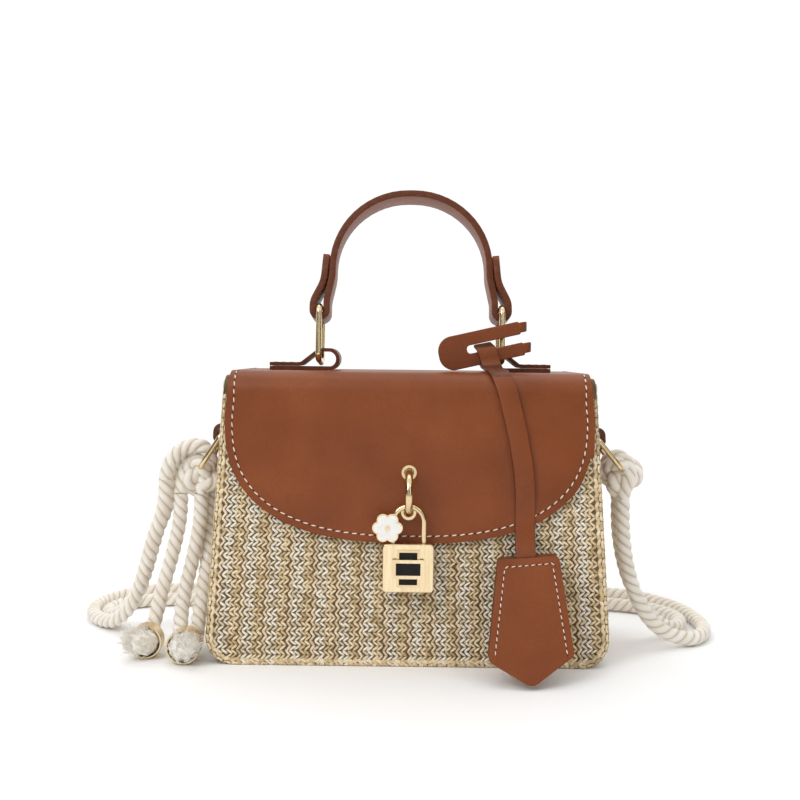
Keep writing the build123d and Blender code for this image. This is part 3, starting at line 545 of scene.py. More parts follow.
# ---------------------------------------------------------------- straw box
# Six-millimetre plaits of paper straw, sewn edge to edge over a stiff board; each plait shows
# cream floats at its left and straw-coloured ones at its right, with a raised seam between plaits.
HALF_BOTTOM, HALF_TOP = 0.1085, 0.099
DEEP_BOTTOM, DEEP_TOP = 0.044, 0.037
BOX_HEIGHT = 0.1543
BOX_CORNER = 0.015
PLAITS_ACROSS = 16
PLAITS_DEEP = 6
ROW = 0.0025
BINDING = 0.0042        # width of the bound edge
SLOPE = (HALF_BOTTOM - HALF_TOP) / BOX_HEIGHT
LEAN_IN = (DEEP_BOTTOM - DEEP_TOP) / BOX_HEIGHT
FLOAT_LENGTH = 0.0046
FLOAT_WIDTH = 0.00148
SWING = 0.0036          # how far a float swings sideways over one row
RIDGE_RISE = 0.00042    # how far floats stand out: the seam between plaits, then the others
FLOAT_RISE = 0.00022
# across one plait: each float's place, its tone (0 seam, 1 cream, 2 straw) and its share of the swing
STRANDS = ((0.095, 0.0, 0.55), (0.285, 1.0, 1.0), (0.495, 1.0, 1.0), (0.695, 2.0, 1.0), (0.88, 2.0, 0.9))


def straw_color(tree):
    tone = attribute(tree, "straw_tone").outputs["Fac"]
    shade = attribute(tree, "straw_shade").outputs["Fac"]
    ridge = ramp(tree, shade, [(0.0, (0.60, 0.46, 0.28)), (0.5, (0.84, 0.68, 0.46)),
                               (1.0, (0.94, 0.82, 0.62))])
    cream = ramp(tree, shade, [(0.0, (0.66, 0.55, 0.38)), (0.45, (0.90, 0.83, 0.68)),
                               (1.0, (0.96, 0.93, 0.84))])
    straw = ramp(tree, shade, [(0.0, (0.54, 0.40, 0.21)), (0.5, (0.82, 0.66, 0.41)),
                               (1.0, (0.93, 0.80, 0.56))])
    to_cream = add(tree, "ShaderNodeMapRange", {"Value": tone, "From Min": 0.0, "From Max": 1.0})
    to_straw = add(tree, "ShaderNodeMapRange", {"Value": tone, "From Min": 1.0, "From Max": 2.0})
    first = add(tree, "ShaderNodeMix", {0: to_cream, 6: ridge, 7: cream}, data_type="RGBA")
    mixed = add(tree, "ShaderNodeMix", {0: to_straw, 6: first.outputs[2], 7: straw}, data_type="RGBA")
    grain = ramp(tree, object_noise(tree, 1500.0), [(0.3, (0.80, 0.75, 0.68)), (0.62, (1.0, 1.0, 1.0))])
    return add(tree, "ShaderNodeMix", {0: 0.8, 6: mixed.outputs[2], 7: grain}, data_type="RGBA",
               blend_type="MULTIPLY").outputs[2]


straw = finish_of("paper_straw", straw_color, 0.55, roughened(2200.0, 0.0002, 0.5, 2.0),
                  Specular_IOR_Level=0.35)
# the backing shows only in the gaps between the floats; its dark brown is painted shade in those gaps
backing_gap_shade_color = mottled(320.0, (0.085, 0.052, 0.025), (0.24, 0.16, 0.085), 4.0, (1, 1, 0.25))
under_bump = roughened(900.0, 0.0005, 0.8, 3.0, (1, 1, 0.3))
gap_shade_backing = finish_of("straw_backing", backing_gap_shade_color, 0.85, under_bump)


def float_tree():
    """A slim lens of straw on each point, laid along the point's own direction."""
    tree, given, end = node_tree("straw floats", [
        ("Length", "Float", FLOAT_LENGTH), ("Width", "Float", FLOAT_WIDTH), ("Thickness", "Float", 0.0013),
        ("Unevenness", "Float", 0.14), ("Seed", "Int", 3), ("Finish", "Material", None)])
    lens = add(tree, "GeometryNodeMeshUVSphere", {"Segments": 6, "Rings": 3, "Radius": 0.5})
    lie = add(tree, "GeometryNodeInputNamedAttribute", {"Name": "lie"}, data_type="FLOAT_VECTOR")
    out = add(tree, "GeometryNodeInputNamedAttribute", {"Name": "out"}, data_type="FLOAT_VECTOR")
    turned = add(tree, "FunctionNodeAxesToRotation", {"Primary Axis": lie, "Secondary Axis": out},
                 primary_axis="Z", secondary_axis="Y")
    low = calc(tree, "SUBTRACT", 1.0, given["Unevenness"])
    high = calc(tree, "ADD", 1.0, given["Unevenness"])
    vary = add(tree, "FunctionNodeRandomValue", {2: low, 3: high, "Seed": given["Seed"]}, data_type="FLOAT")
    other_seed = calc(tree, "ADD", given["Seed"], 7)
    other = add(tree, "FunctionNodeRandomValue", {2: low, 3: high, "Seed": other_seed}, data_type="FLOAT")
    size = add(tree, "ShaderNodeCombineXYZ", {
        "X": calc(tree, "MULTIPLY", given["Width"], vary.outputs[1]),
        "Y": calc(tree, "MULTIPLY", given["Thickness"], other.outputs[1]), "Z": given["Length"]})
    shade_seed = calc(tree, "ADD", given["Seed"], 1)
    shade = add(tree, "FunctionNodeRandomValue", {2: 0.0, 3: 1.0, "Seed": shade_seed}, data_type="FLOAT")
    toned = keep(tree, given["Geometry"], "straw_shade", shade.outputs[1])
    copies = add(tree, "GeometryNodeInstanceOnPoints", {"Points": toned, "Instance": lens,
                                                        "Rotation": turned, "Scale": size})
    close_tree(tree, end, copies, given["Finish"])
    return tree


straw_floats = float_tree()


def spotted(name, spots):
    """A mesh of loose points, each with the way its float lies, the way it faces, and its tone."""
    mesh = mesh_of(name, [spot[0] for spot in spots])
    for label, kind, index in (("lie", "FLOAT_VECTOR", 1), ("out", "FLOAT_VECTOR", 2)):
        layer = mesh.attributes.new(label, kind, "POINT")
        layer.data.foreach_set("vector", [part for spot in spots for part in spot[index]])
    tone = mesh.attributes.new("straw_tone", "FLOAT", "POINT")
    tone.data.foreach_set("value", [spot[3] for spot in spots])
    return mesh


FRONT_STOP = 0.009      # the weave's end below the box's top, under the flap
BACK_STOP = 0.001
SNAP_X, SNAP_Z, SNAP_CLEAR = 0.034, 0.0895, 0.0072


def weave_top(side):
    return BOX_HEIGHT - (FRONT_STOP if side < 0 else BACK_STOP)


def hidden_spot(x, z, side):
    """Whether a float would lie past the rounded corner or under a snap's disc."""
    corner_x = abs(x) - (HALF_BOTTOM - BOX_CORNER)
    corner_z = BOX_CORNER - z
    if corner_x > 0 and corner_z > 0 and math.hypot(corner_x, corner_z) > BOX_CORNER - BINDING:
        return True
    return side < 0 and abs(z - SNAP_Z) < SNAP_CLEAR and abs(abs(x) - SNAP_X) < SNAP_CLEAR


def plait_rows(side):
    """Where the floats of the front (side -1) or the back (side 1) lie."""
    out = Vector((0, side, LEAN_IN)).normalized()
    spots = []
    for row in range(int(weave_top(side) / ROW)):
        z = (row + 0.8) * ROW
        half = HALF_BOTTOM - SLOPE * z - BINDING
        for plait in range(PLAITS_ACROSS):
            for where, tone, swing in STRANDS:
                x = ((plait + where) / PLAITS_ACROSS * 2 - 1) * half
                if hidden_spot(x, z, side):
                    continue
                raised = RIDGE_RISE if tone == 0.0 else FLOAT_RISE
                y = side * (DEEP_BOTTOM - LEAN_IN * z + raised)
                way = 1 if row % 2 else -1
                lie = Vector((SWING * swing * way, side * -LEAN_IN * ROW, ROW)).normalized()
                wander = random.gauss(0, 0.00016)
                spots.append(((x + wander, y, z + random.gauss(0, 0.00012)), lie, out, tone))
    return spots


def edge_line(top):
    """The outline of the front and back: down the left side, along the bottom, up the right."""
    line = []
    steps = int((top - BOX_CORNER) / ROW)
    for step in range(steps + 1):
        z = top - (top - BOX_CORNER) * step / steps
        line.append((-(HALF_BOTTOM - SLOPE * z), z))
    centre = HALF_BOTTOM - SLOPE * BOX_CORNER - BOX_CORNER
    for step in range(1, 10):
        turn = math.pi / 2 * step / 10
        line.append((-(centre + BOX_CORNER * math.cos(turn)), BOX_CORNER * (1 - math.sin(turn))))
    steps = int(2 * centre / ROW)
    for step in range(steps + 1):
        line.append((-centre + 2 * centre * step / steps, 0.0))
    return line + [(-x, z) for x, z in line[::-1][steps + 1:]]


# the bound edge's two rows: how far in and out they lie, how much they slant, how far they wrap over
BOUND_ROWS = ((0.0006, -0.0003, 0.6, 0.7, 0.8), (0.0028, 0.0002, 0.45, 0.0, 0.0))
HEART_OF_BOX = 0.06


def bound_edge(side):
    """The bound edge: two close rows of slanting stitches of the same straw."""
    line = edge_line(weave_top(side))
    face = Vector((0, side, 0))
    spots = []
    for number, (before, here, after) in enumerate(zip(line, line[1:], line[2:])):
        run = Vector((after[0] - before[0], 0, after[1] - before[1])).normalized()
        inward = Vector((-run.z, 0, run.x))
        if inward.dot(Vector((-here[0], 0, HEART_OF_BOX - here[1]))) < 0:
            inward = -inward
        way = 1 if number % 2 else -1
        tone = 2.0 if number % 3 else 0.0
        for inset, raised, swing, wrap, dip in BOUND_ROWS:
            spot = Vector((here[0], 0, here[1])) + inward * inset
            y = side * (DEEP_BOTTOM - LEAN_IN * spot.z + raised)
            lie = (run + (inward + face * dip) * swing * way).normalized()
            out = (face - inward * wrap).normalized()
            spots.append(((spot.x, y, max(spot.z, 0.0006)), lie, out, tone))
    return spots


def gusset_rows():
    """Where the floats of the two sides lie, from the top down to the rounded corners."""
    line = [spot for spot in edge_line(BOX_HEIGHT - 0.0015) if spot[1] > 0.0018]
    spots = []
    for number, (before, here, after) in enumerate(zip(line, line[1:], line[2:])):
        if before[0] < 0 < after[0]:
            continue
        run = Vector((after[0] - before[0], 0, after[1] - before[1])).normalized()
        out = Vector((run.z, 0, -run.x))
        if out.x * here[0] < 0:
            out = -out
        deep = DEEP_BOTTOM - LEAN_IN * here[1] - 0.0026
        for plait in range(PLAITS_DEEP):
            for where, tone, swing in STRANDS:
                y = ((plait + where) / PLAITS_DEEP * 2 - 1) * deep
                raised = RIDGE_RISE if tone == 0.0 else FLOAT_RISE
                way = 1 if number % 2 else -1
                lie = (Vector((0, SWING * swing * way, 0)) + run * ROW).normalized()
                spot = Vector((here[0], y, here[1])) + out * raised
                spots.append((tuple(spot), lie, out, tone))
    return spots


plain = (FLOAT_LENGTH, FLOAT_WIDTH)
bound = (0.0042, 0.0024)
weaves = (("front_plaits", plait_rows(-1), 3, plain), ("back_plaits", plait_rows(1), 4, plain),
          ("side_plaits", gusset_rows(), 5, plain),
          ("front_binding", bound_edge(-1), 6, bound), ("back_binding", bound_edge(1), 7, bound))
for name, spots, seed, (length, width) in weaves:
    points = spotted(name, spots)
    piece = grown(name, straw_floats, points, Length=length, Width=width, Seed=seed, Finish=straw)
    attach(piece, "root")


def repaint(material, *nodes):
    for node in nodes:
        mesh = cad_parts[node].data
        mesh.materials.clear()
        mesh.materials.append(material)


repaint(gap_shade_backing, "front_panel", "back_panel", "gusset")


def twill_bump(tree):
    coordinates = add(tree, "ShaderNodeTexCoord")
    wave = add(tree, "ShaderNodeTexWave", {"Vector": coordinates.outputs["Object"], "Scale": 520.0,
                                           "Distortion": 0.6}, bands_direction="DIAGONAL")
    return bump(tree, wave.outputs["Fac"], 0.0003, 0.6).outputs[0]


twill_color = mottled(60.0, (0.50, 0.40, 0.28), (0.60, 0.49, 0.36), 4.0)
cloth = finish_of("lining_twill", twill_color, 0.9, twill_bump, Sheen_Weight=0.2)
repaint(cloth, "lining")
# the board under the box takes the same dark colour, painted gap shade
repaint(finish_of("stiff_board", backing_gap_shade_color, 0.8, under_bump), "base_board")

# ---------------------------------------------------------------- leather flap and back band
# One piece of smooth brown leather 2.4 mm thick, folded over the box's top, with its cut edge
# painted dark and a row of cream thread a few millimetres inside it.


LEATHER_STOPS = [(0.32, (0.190, 0.045, 0.0095)), (0.68, (0.250, 0.064, 0.0150))]
SPECK_STOPS = [(0.3, (0.80, 0.78, 0.76)), (0.65, (1.0, 1.0, 1.0))]
EDGE_STOPS = [(0.3, (0.088, 0.021, 0.006)), (0.7, (0.140, 0.036, 0.010))]


def leather(name, edges):
    """Brown leather. edges names how a painted edge is told from a face: by the way it faces."""
    def edge_mask(tree):
        facing = add(tree, "ShaderNodeSeparateXYZ", {0: add(tree, "ShaderNodeTexCoord").outputs["Normal"]})
        if edges == "flap":
            down = calc(tree, "LESS_THAN", facing.outputs["Z"], -0.45)
            aside = calc(tree, "GREATER_THAN", calc(tree, "ABSOLUTE", facing.outputs["X"]), 0.6)
            return calc(tree, "MAXIMUM", down, aside)
        across = calc(tree, "ABSOLUTE", facing.outputs["Y"])
        return calc(tree, "GREATER_THAN" if edges == "along" else "LESS_THAN", across, 0.72)

    def color(tree):
        cloud = object_noise(tree, 26.0, 5.0)
        skin = ramp(tree, cloud, LEATHER_STOPS)
        speck = ramp(tree, object_noise(tree, 900.0), SPECK_STOPS)
        mixed = add(tree, "ShaderNodeMix", {0: 0.55, 6: skin, 7: speck}, data_type="RGBA",
                    blend_type="MULTIPLY")
        paint = ramp(tree, object_noise(tree, 300.0), EDGE_STOPS)
        return add(tree, "ShaderNodeMix", {0: edge_mask(tree), 6: mixed.outputs[2], 7: paint},
                   data_type="RGBA").outputs[2]

    def grain(tree):
        coordinates = add(tree, "ShaderNodeTexCoord")
        pores = add(tree, "ShaderNodeTexVoronoi", {"Vector": coordinates.outputs["Object"], "Scale": 1500.0})
        first = bump(tree, pores.outputs["Distance"], 0.00009, 0.35)
        wrinkles = object_noise(tree, 240.0, 4.0).outputs["Fac"]
        return bump(tree, wrinkles, 0.0004, 0.25, first.outputs[0]).outputs[0]

    return finish_of(name, color, uneven_gloss(60.0, 0.34, 0.50), grain, Specular_IOR_Level=0.3)


flap_leather = leather("flap_leather", "flap")
repaint(flap_leather, "flap", "back_band")


thread_color = mottled(900.0, (0.74, 0.56, 0.42), (0.93, 0.81, 0.67), 2.0, high=0.6)
thread = finish_of("cream_thread", thread_color, 0.7, roughened(2600.0, 0.0002, 0.6, 2.0))
# the needle holes are near-black dots on the surface: painted shade in the holes
needle_hole = finish_of("needle_hole", mottled(500.0, (0.03, 0.010, 0.006), (0.06, 0.02, 0.011)), 0.8)
HOLE_DEPTH = 0.00024
STITCH_SLANT = 0.12


def seam_tree():
    """Stitches of even pitch along a line, each sinking into a needle hole at both ends."""
    tree, given, end = node_tree("sewn seam", [
        ("Pitch", "Float", 0.0046), ("Stitch", "Float", 0.0028), ("Thickness", "Float", 0.0006),
        ("Slant", "Float", STITCH_SLANT), ("Thread", "Material", None), ("Hole", "Material", None)])
    line = add(tree, "GeometryNodeMeshToCurve", {"Mesh": given["Geometry"]})
    even = add(tree, "GeometryNodeResampleCurve", {"Curve": line, "Length": given["Pitch"]}, mode="LENGTH")
    out = add(tree, "GeometryNodeInputNamedAttribute", {"Name": "out"}, data_type="FLOAT_VECTOR")
    run = add(tree, "GeometryNodeInputTangent")
    turned = add(tree, "FunctionNodeAxesToRotation", {"Primary Axis": run, "Secondary Axis": out},
                 primary_axis="Z", secondary_axis="Y")
    slant = add(tree, "FunctionNodeAxisAngleToRotation", {"Axis": (0, 1, 0), "Angle": given["Slant"]})
    slanted = add(tree, "FunctionNodeRotateRotation", {"Rotation": turned, "Rotate By": slant},
                  rotation_space="LOCAL")
    bead = add(tree, "GeometryNodeMeshUVSphere", {"Segments": 10, "Rings": 8, "Radius": 0.5})
    size = add(tree, "ShaderNodeCombineXYZ", {"X": given["Thickness"], "Y": given["Thickness"],
                                              "Z": given["Stitch"]})
    stitches = add(tree, "GeometryNodeInstanceOnPoints", {"Points": even, "Instance": bead,
                                                          "Rotation": slanted, "Scale": size})
    sewn = add(tree, "GeometryNodeSetMaterial", {"Geometry": stitches, "Material": given["Thread"]})
    half = add(tree, "ShaderNodeVectorMath", {0: run, "Scale": calc(tree, "MULTIPLY", given["Pitch"], 0.5)},
               operation="SCALE")
    between = add(tree, "GeometryNodeSetPosition", {"Geometry": even, "Offset": half})
    # the holes are flat dark dots, painted shade rather than real openings
    hole_across = calc(tree, "MULTIPLY", given["Thickness"], 0.95)
    hole_along = calc(tree, "MULTIPLY", given["Pitch"], 0.34)
    dot = add(tree, "ShaderNodeCombineXYZ", {"X": hole_across, "Y": HOLE_DEPTH, "Z": hole_along})
    holes = add(tree, "GeometryNodeInstanceOnPoints", {"Points": between, "Instance": bead,
                                                       "Rotation": turned, "Scale": dot})
    dark = add(tree, "GeometryNodeSetMaterial", {"Geometry": holes, "Material": given["Hole"]})
    both = add(tree, "GeometryNodeJoinGeometry")
    tree.links.new(dark.outputs[0], both.inputs[0])
    tree.links.new(sewn.outputs[0], both.inputs[0])
    smooth = add(tree, "GeometryNodeSetShadeSmooth", {"Geometry": both})
    real = add(tree, "GeometryNodeRealizeInstances", {"Geometry": smooth})
    tree.links.new(real.outputs[0], end.inputs[0])
    return tree


sewn_seam = seam_tree()


def seam(name, body, points, outs, sewing):
    """Sews a row of stitches along points; outs says which way the leather faces at each, and
    sewing is the pitch, length and thickness of a stitch."""
    pitch, stitch, thickness = sewing
    mesh = mesh_of(name, points, edges=[(i, i + 1) for i in range(len(points) - 1)])
    layer = mesh.attributes.new("out", "FLOAT_VECTOR", "POINT")
    layer.data.foreach_set("vector", [part for out in outs for part in out])
    piece = grown(name, sewn_seam, mesh, Pitch=pitch, Stitch=stitch, Thickness=thickness,
                  Slant=STITCH_SLANT, Thread=thread, Hole=needle_hole)
    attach(piece, body)


FLAP_TOP = 0.157
FLAP_LOW = 0.0665
FLAP_STRAIGHT = 0.025
FLAP_BEND = 0.012
FLAP_POWER = 2.56
FLAP_OUT = 0.0042       # its outer face in front of the box's
FLAP_INSET = 0.0024     # how much narrower than the box it is where the curve begins
FLAP_TOP_INSET = 0.0032
FLAP_STITCH = (0.0044, 0.0028, 0.00068)
SEAM_INSET = 0.0039
SEAM_PROUD = 0.00012
SEAM_BEND = 0.013       # how far below the top the seam turns to run over it
OVER_TOP = 0.0725       # how far it runs on, up to the hinge


def flap_face(z):
    """The flap's outer face on its front, at a height."""
    return -(DEEP_BOTTOM - LEAN_IN * z) - FLAP_OUT


def flap_edge():
    """Half the flap's edge, from the bend down the side and along the curve to the middle."""
    curve_top = FLAP_TOP - FLAP_STRAIGHT
    half = HALF_BOTTOM - SLOPE * curve_top - FLAP_INSET
    top_half = HALF_BOTTOM - SLOPE * FLAP_TOP - FLAP_TOP_INSET
    line = [(top_half + (half - top_half) * t / 8, FLAP_TOP - FLAP_STRAIGHT * t / 8) for t in range(8)]
    for step in range(61):
        turn = math.pi / 2 * step / 60
        line.append((half * math.cos(turn) ** (2 / FLAP_POWER),
                     curve_top - (curve_top - FLAP_LOW) * math.sin(turn) ** (2 / FLAP_POWER)))
    return line


def drawn_in(line, inset):
    """The edge moved inwards; the line runs from the top right to the middle of the lower edge."""
    inner = []
    for i, here in enumerate(line):
        before, after = line[max(i - 1, 0)], line[min(i + 1, len(line) - 1)]
        run = Vector((after[0] - before[0], after[1] - before[1])).normalized()
        inner.append((here[0] + run.y * inset, here[1] - run.x * inset))
    return inner


def bent_spot(x, z, out=0.0):
    """A point on the flap's outer face: z above the bend's start runs round the bend and back."""
    start = FLAP_TOP - FLAP_BEND
    if z <= start:
        return (x, flap_face(z) - out, z), (0, -1, LEAN_IN)
    run = z - start
    turn = min(run / FLAP_BEND, math.pi / 2)
    rest = max(run - FLAP_BEND * math.pi / 2, 0.0)
    centre_y = flap_face(start) + FLAP_BEND
    y = centre_y - (FLAP_BEND + out) * math.cos(turn) + rest
    return (x, y, start + (FLAP_BEND + out) * math.sin(turn)), (0, -math.cos(turn), math.sin(turn))


side_seam = drawn_in(flap_edge(), SEAM_INSET)
lower = [spot for spot in side_seam if spot[1] < FLAP_TOP - SEAM_BEND]
outline = [(-x, z) for x, z in lower] + lower[::-1][1:]
over_top = []
reach = FLAP_TOP + OVER_TOP
for step in range(24):
    over_top.append((-lower[0][0], reach - (reach - lower[0][1]) * step / 24))
outline = over_top + outline + [(-x, z) for x, z in over_top[::-1]]
placed = [bent_spot(x, z, SEAM_PROUD) for x, z in outline]
seam("flap_seam", "flap_body", [spot for spot, _ in placed], [out for _, out in placed], FLAP_STITCH)

# ---------------------------------------------------------------- handle, links and tabs
# The handle is doubled leather with painted edges, looped round two gold links and sewn to itself.
# The links stand in short looped tabs sewn to the top of the flap; two more tabs hold the side rings.
strap_leather = leather("strap_leather", "along")
repaint(strap_leather, "left_top_tab", "right_top_tab", "left_side_tab", "right_side_tab")


def filleted(points, radii):
    """A bent line in a plane: straight runs joined by arcs of the given radii."""
    line = [points[0]]
    for before, here, after, radius in zip(points, points[1:], points[2:], radii):
        here = Vector(here)
        back = (Vector(before) - here).normalized()
        ahead = (Vector(after) - here).normalized()
        half = back.angle(ahead) / 2
        centre = here + (back + ahead).normalized() * radius / math.sin(half)
        start = here + back * radius / math.tan(half) - centre
        swing = math.pi - 2 * half
        steps = max(4, int(math.degrees(swing) / 6))
        swing *= 1 if back.cross(ahead) < 0 else -1
        for step in range(steps + 1):
            line.append(tuple(centre + Matrix.Rotation(swing * step / steps, 2) @ start))
    return line + [points[-1]]


def strap_piece(name, path, side, width, thickness, material, soft=0.0007):
    """A flat strap with softened edges, swept along a path; side is the way its width lies."""
    corners = []
    for u, v, begin in ((1, 1, 0), (-1, 1, 90), (-1, -1, 180), (1, -1, 270)):
        for step in range(5):
            turn = math.radians(begin + 22.5 * step)
            corners.append((u * (width / 2 - soft) + soft * math.cos(turn),
                            v * (thickness / 2 - soft) + soft * math.sin(turn)))
    strap = bmesh.new()
    rings = []
    for i, here in enumerate(path):
        run = (Vector(path[min(i + 1, len(path) - 1)]) - Vector(path[max(i - 1, 0)])).normalized()
        across = (Vector(side) - run * run.dot(Vector(side))).normalized()
        out = across.cross(run)
        rings.append([strap.verts.new(Vector(here) + across * u + out * v) for u, v in corners])
    for first, second in zip(rings, rings[1:]):
        for k in range(len(corners)):
            after = (k + 1) % len(corners)
            strap.faces.new((first[k], first[after], second[after], second[k])).smooth = True
    strap.faces.new(rings[0])
    strap.faces.new(rings[-1])
    bmesh.ops.recalc_face_normals(strap, faces=strap.faces)
    mesh = bpy.data.meshes.new(name)
    strap.to_mesh(mesh)
    strap.free()
    mesh.materials.append(material)
    return place(name, mesh)


LINK_SPREAD = 0.0513
LINK_BASE = 0.162155
LEAN = math.radians(7)
BAR = LINK_BASE + 0.0301
CROWN = BAR + 0.0652
LOOP = 0.0039           # radius of the handle's loop round a link's bar
HANDLE_WIDTH, HANDLE_THICK = 0.019, 0.0037
half_arch = [(0.0437, CROWN), (0.0444, CROWN - 0.0475), (LINK_SPREAD - LOOP, BAR + 0.004),
             (LINK_SPREAD - LOOP, BAR - LOOP - 0.002), (LINK_SPREAD + LOOP, BAR - LOOP - 0.002),
             (LINK_SPREAD + LOOP, BAR + 0.003), (0.0493, BAR + 0.0145), (0.0479, BAR + 0.0296)]
half_bends = [0.0428, 0.03, 0.018, 0.98 * LOOP, 0.98 * LOOP, 0.012, 0.02]
arch = filleted([(-x, z) for x, z in half_arch[::-1]] + half_arch, half_bends[::-1] + half_bends)
arch = [(x, (z - LINK_BASE) * math.sin(LEAN), LINK_BASE + (z - LINK_BASE) * math.cos(LEAN))
        for x, z in arch]
handle_side = (0, math.cos(LEAN), -math.sin(LEAN))
handle = strap_piece("leather_handle", arch, handle_side, HANDLE_WIDTH, HANDLE_THICK, strap_leather)
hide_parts("handle_strap")
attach(handle, "handle")

gold_color = mottled(55.0, (0.70, 0.53, 0.29), (0.82, 0.66, 0.41))
gold_bump = roughened(700.0, 0.00006, 0.3)
gold = finish_of("pale_gold", gold_color, uneven_gloss(180.0, 0.10, 0.24), gold_bump, Metallic=1.0)
repaint(gold, "left_handle_ring", "right_handle_ring", "left_side_ring", "right_side_ring", "hasp_loop",
        "hasp_plate", "upper_eyelet", "lower_eyelet", "shackle", "flower_charm", "lock_slot_frame",
        "lock_catch", "charm_centre")
magnet_color = mottled(200.0, (0.45, 0.44, 0.43), (0.62, 0.61, 0.60))
repaint(finish_of("snap_steel", magnet_color, 0.35, gold_bump, Metallic=1.0), "left_snap_socket",
        "right_snap_socket", "left_snap_stud", "right_snap_stud")
repaint(finish_of("cup_brass", gold_color, 0.3, gold_bump, Metallic=1.0), "end_cap_one", "end_cap_two")

TOP_SEAM = 0.0022
TAB_RISE = 0.0043       # the tab's upper face above the flap's
TAB_SEAM_NEAR, TAB_SEAM_FAR = 0.0015, 0.0145
TAB_STITCH = (0.0036, 0.0023, 0.00055)
for side, name in ((-1, "left"), (1, "right")):
    low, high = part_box(name + "_top_tab")
    level = FLAP_TOP + TAB_RISE
    near = high.x if side > 0 else low.x
    for y in (low.y + TOP_SEAM, high.y - TOP_SEAM):
        ends_at = (near - side * TAB_SEAM_NEAR, near - side * TAB_SEAM_FAR)
        seam(f"{name}_tab_seam_{'front' if y < 0 else 'rear'}", "flap_body",
             [(ends_at[0], y, level), (ends_at[1], y, level)], [(0, 0, 1)] * 2, TAB_STITCH)

# ---------------------------------------------------------------- padlock and charm
# A small cast padlock, brushed up and down, with a dark recess framed in bright metal and a
# slider across it. A flower of white enamel on gold hangs on its shackle.

brushed_color = mottled(90.0, (0.78, 0.60, 0.35), (0.92, 0.77, 0.52), 4.0, (6, 6, 0.3))
brushed_bump = roughened(900.0, 0.00012, 0.5, 3.0, (2.2, 2.2, 0.05))
repaint(finish_of("brushed_gold", brushed_color, 0.18, brushed_bump, Metallic=1.0), "padlock_case",
        "padlock_back", "lock_slider")
black_color = mottled(400.0, (0.004, 0.0035, 0.003), (0.010, 0.009, 0.008))
white_color = mottled(300.0, (0.84, 0.81, 0.76), (0.92, 0.90, 0.87))
enamel_bump = roughened(350.0, 0.0002, 0.25, 2.0)
repaint(finish_of("black_enamel", black_color, 0.3, enamel_bump, Specular_IOR_Level=0.2), "lock_slot_inlay",
        "lock_slider_inlay")
repaint(finish_of("white_enamel", white_color, 0.15, enamel_bump, Coat_Weight=0.5), "charm_enamel")

# ---------------------------------------------------------------- leather tag and bell
# A narrow strap looped round the right link, running over the flap and down to a bell of two
# sewn leather leaves that hangs open at the bottom.
tag_leather = leather("tag_leather", "across")
repaint(tag_leather, "bell_back_leaf", "bell_front_leaf")
TAG = 0.002
TAG_WIDTH = 0.0106
HEAD_Y = -0.0153
HEAD_TILT = -13         # degrees
CURL_WIDTH = 0.0056
OVER_BEND = 0.0136      # radius at which the strap bends over the flap's fold
TAG_PIVOT = 0.1448
HANG_TOP, HANG_END = 0.1425, 0.0565
BELL_TOP = 0.062
BELL_RUN = 0.027 / 0.0602
BELL_BACK = flap_face(BELL_TOP) - 0.0005 - 0.003

head_curve = bpy.data.curves.new("tag_head_plate", "CURVE")
head_curve.dimensions = "2D"
head_curve.fill_mode = "BOTH"
head_curve.extrude = TAG / 2 - 0.0005
head_curve.bevel_depth = 0.0005
head_curve.bevel_resolution = 2
fork = filleted([(0.0, 0.009), (-0.023, 0.009), (-0.023, -0.009), (0.023, -0.009), (0.023, -0.00275),
                 (-0.008, -0.00275), (-0.008, 0.00275), (0.023, 0.00275), (0.023, 0.009), (0.0, 0.009)],
                [0.0078, 0.0078, 0.0005, 0.0005, 0.0024, 0.0024, 0.0005, 0.0005])[:-1]
spline = head_curve.splines.new("POLY")
spline.points.add(len(fork) - 1)
spline.use_cyclic_u = True
for point, (x, y) in zip(spline.points, fork):
    point.co = (x, y, 0, 1)
head_holder = place("tag_head_curve", head_curve)
head_mesh = bpy.data.meshes.new_from_object(head_holder)
bpy.data.objects.remove(head_holder)
head_place = Matrix.Translation((LINK_SPREAD - 0.0125, HEAD_Y, 0.1708))
head_turn = Matrix.Rotation(math.radians(HEAD_TILT), 4, "Y") @ Matrix.Rotation(math.radians(90), 4, "X")
head_mesh.transform(head_place @ head_turn)
head_mesh.materials.clear()
head_mesh.materials.append(tag_leather)
head_plate = place("tag_head_plate", head_mesh)
curls = []
for number, (begin, height) in enumerate(((0.0592, 0.18165), (0.0618, 0.17035))):
    curl = filleted([(begin, HEAD_Y), (begin + 0.0045, HEAD_Y), (begin + 0.0045, -0.0100)], [0.0036])
    rise = [(x, y, height + (x - begin) * 0.2) for x, y in curl]
    curls.append(strap_piece(f"tag_curl_{number}", rise, (0, 0, 1), CURL_WIDTH, TAG, tag_leather))
BEND_Y = flap_face(FLAP_TOP - FLAP_BEND) + FLAP_BEND
over = [(0.0400, -0.0130, 0.1722), (0.0410, -0.0150, 0.1712), (0.0420, -0.0171, 0.1697),
        (0.0430, -0.0178, 0.1670), (0.0440, -0.0180, 0.1640), (0.0448, -0.0190, 0.1612),
        (0.0454, -0.0215, 0.1592), (0.0458, -0.0252, 0.15865)]
for degrees in range(0, 91, 9):
    angle = math.radians(degrees)
    sideways = 0.0462 + 0.0061 * (degrees / 90) ** 1.2
    y = BEND_Y - OVER_BEND * math.sin(angle)
    over.append((sideways, y, FLAP_TOP - FLAP_BEND + OVER_BEND * math.cos(angle)))
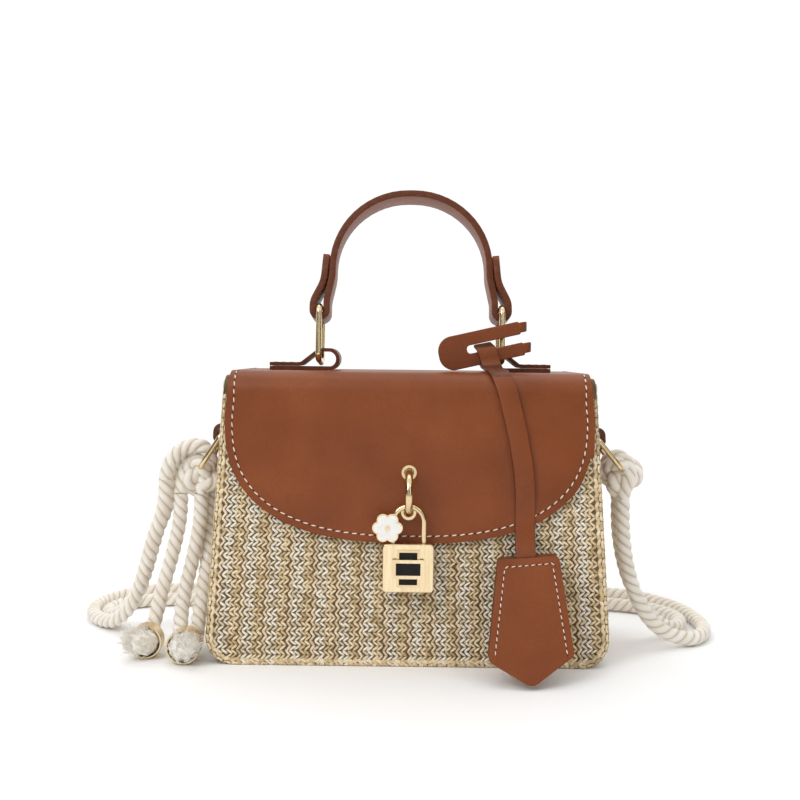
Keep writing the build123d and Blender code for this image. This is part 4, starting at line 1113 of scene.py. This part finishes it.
for step in range(28):
    z = HANG_TOP - (HANG_TOP - HANG_END) * step / 27
    share = min((HANG_TOP - z) / 0.055, 1.0)
    x = 0.0528 + 0.0087 * math.sin(share * math.pi / 2)
    near_flap = flap_face(z) - 0.0016
    near_bell = BELL_BACK - (BELL_TOP - z) * BELL_RUN - 0.0014
    blend = min(max((0.099 - z) / 0.036, 0.0), 1.0)
    over.append((x, near_flap + (near_bell - near_flap) * blend ** 1.6, z))
strap_line = [tuple(vertex.co) for vertex in smooth_line("tag_run", over).vertices]
cut = next(i for i, spot in enumerate(strap_line) if spot[1] < -0.04 and spot[2] < TAG_PIVOT)
head_strap = strap_piece("tag_over", strap_line[:cut + 1], (1, 0, 0), TAG_WIDTH, TAG, tag_leather)
hang = strap_line[cut:]
tag_top = joined("leather_tag_head", [head_plate, *curls, head_strap])
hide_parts("tag_head")
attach(tag_top, "flap_body")
hanging = strap_piece("leather_tag_strap", hang, (1, 0, 0), TAG_WIDTH, TAG, tag_leather)
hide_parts("tag_strap")
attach(hanging, "tag")

BELL_OUT = 0.0002
BELL_STITCH = (0.0034, 0.0022, 0.00055)


def bell_face(x, z):
    """The outer face of the bell's front leaf, which leans out to the front as it comes down."""
    thickness = TAG * math.hypot(1, BELL_RUN)
    out = 2 * thickness + 0.0006 + BELL_OUT
    return (x, BELL_BACK - (BELL_TOP - z) * BELL_RUN - out, z)


# the bell's corners, each drawn in by the seam's distance from the edge
bell_points = [(0.0406 + 0.0036, 0.0172), (0.0468 + 0.0033, 0.0604 - 0.0036),
               (0.0785 - 0.0036, 0.0626 - 0.0036), (0.084 - 0.0038, 0.0182)]
bell_seam_line = []
for (x_a, z_a), (x_b, z_b) in zip(bell_points, bell_points[1:]):
    for step in range(12):
        share = step / 12
        bell_seam_line.append(bell_face(x_a + (x_b - x_a) * share, z_a + (z_b - z_a) * share))
bell_seam_line.append(bell_face(*bell_points[-1]))
bell_facing = tuple(Vector((0, -1, BELL_RUN)).normalized())
seam("bell_seam", "tag", bell_seam_line, [bell_facing] * len(bell_seam_line), BELL_STITCH)
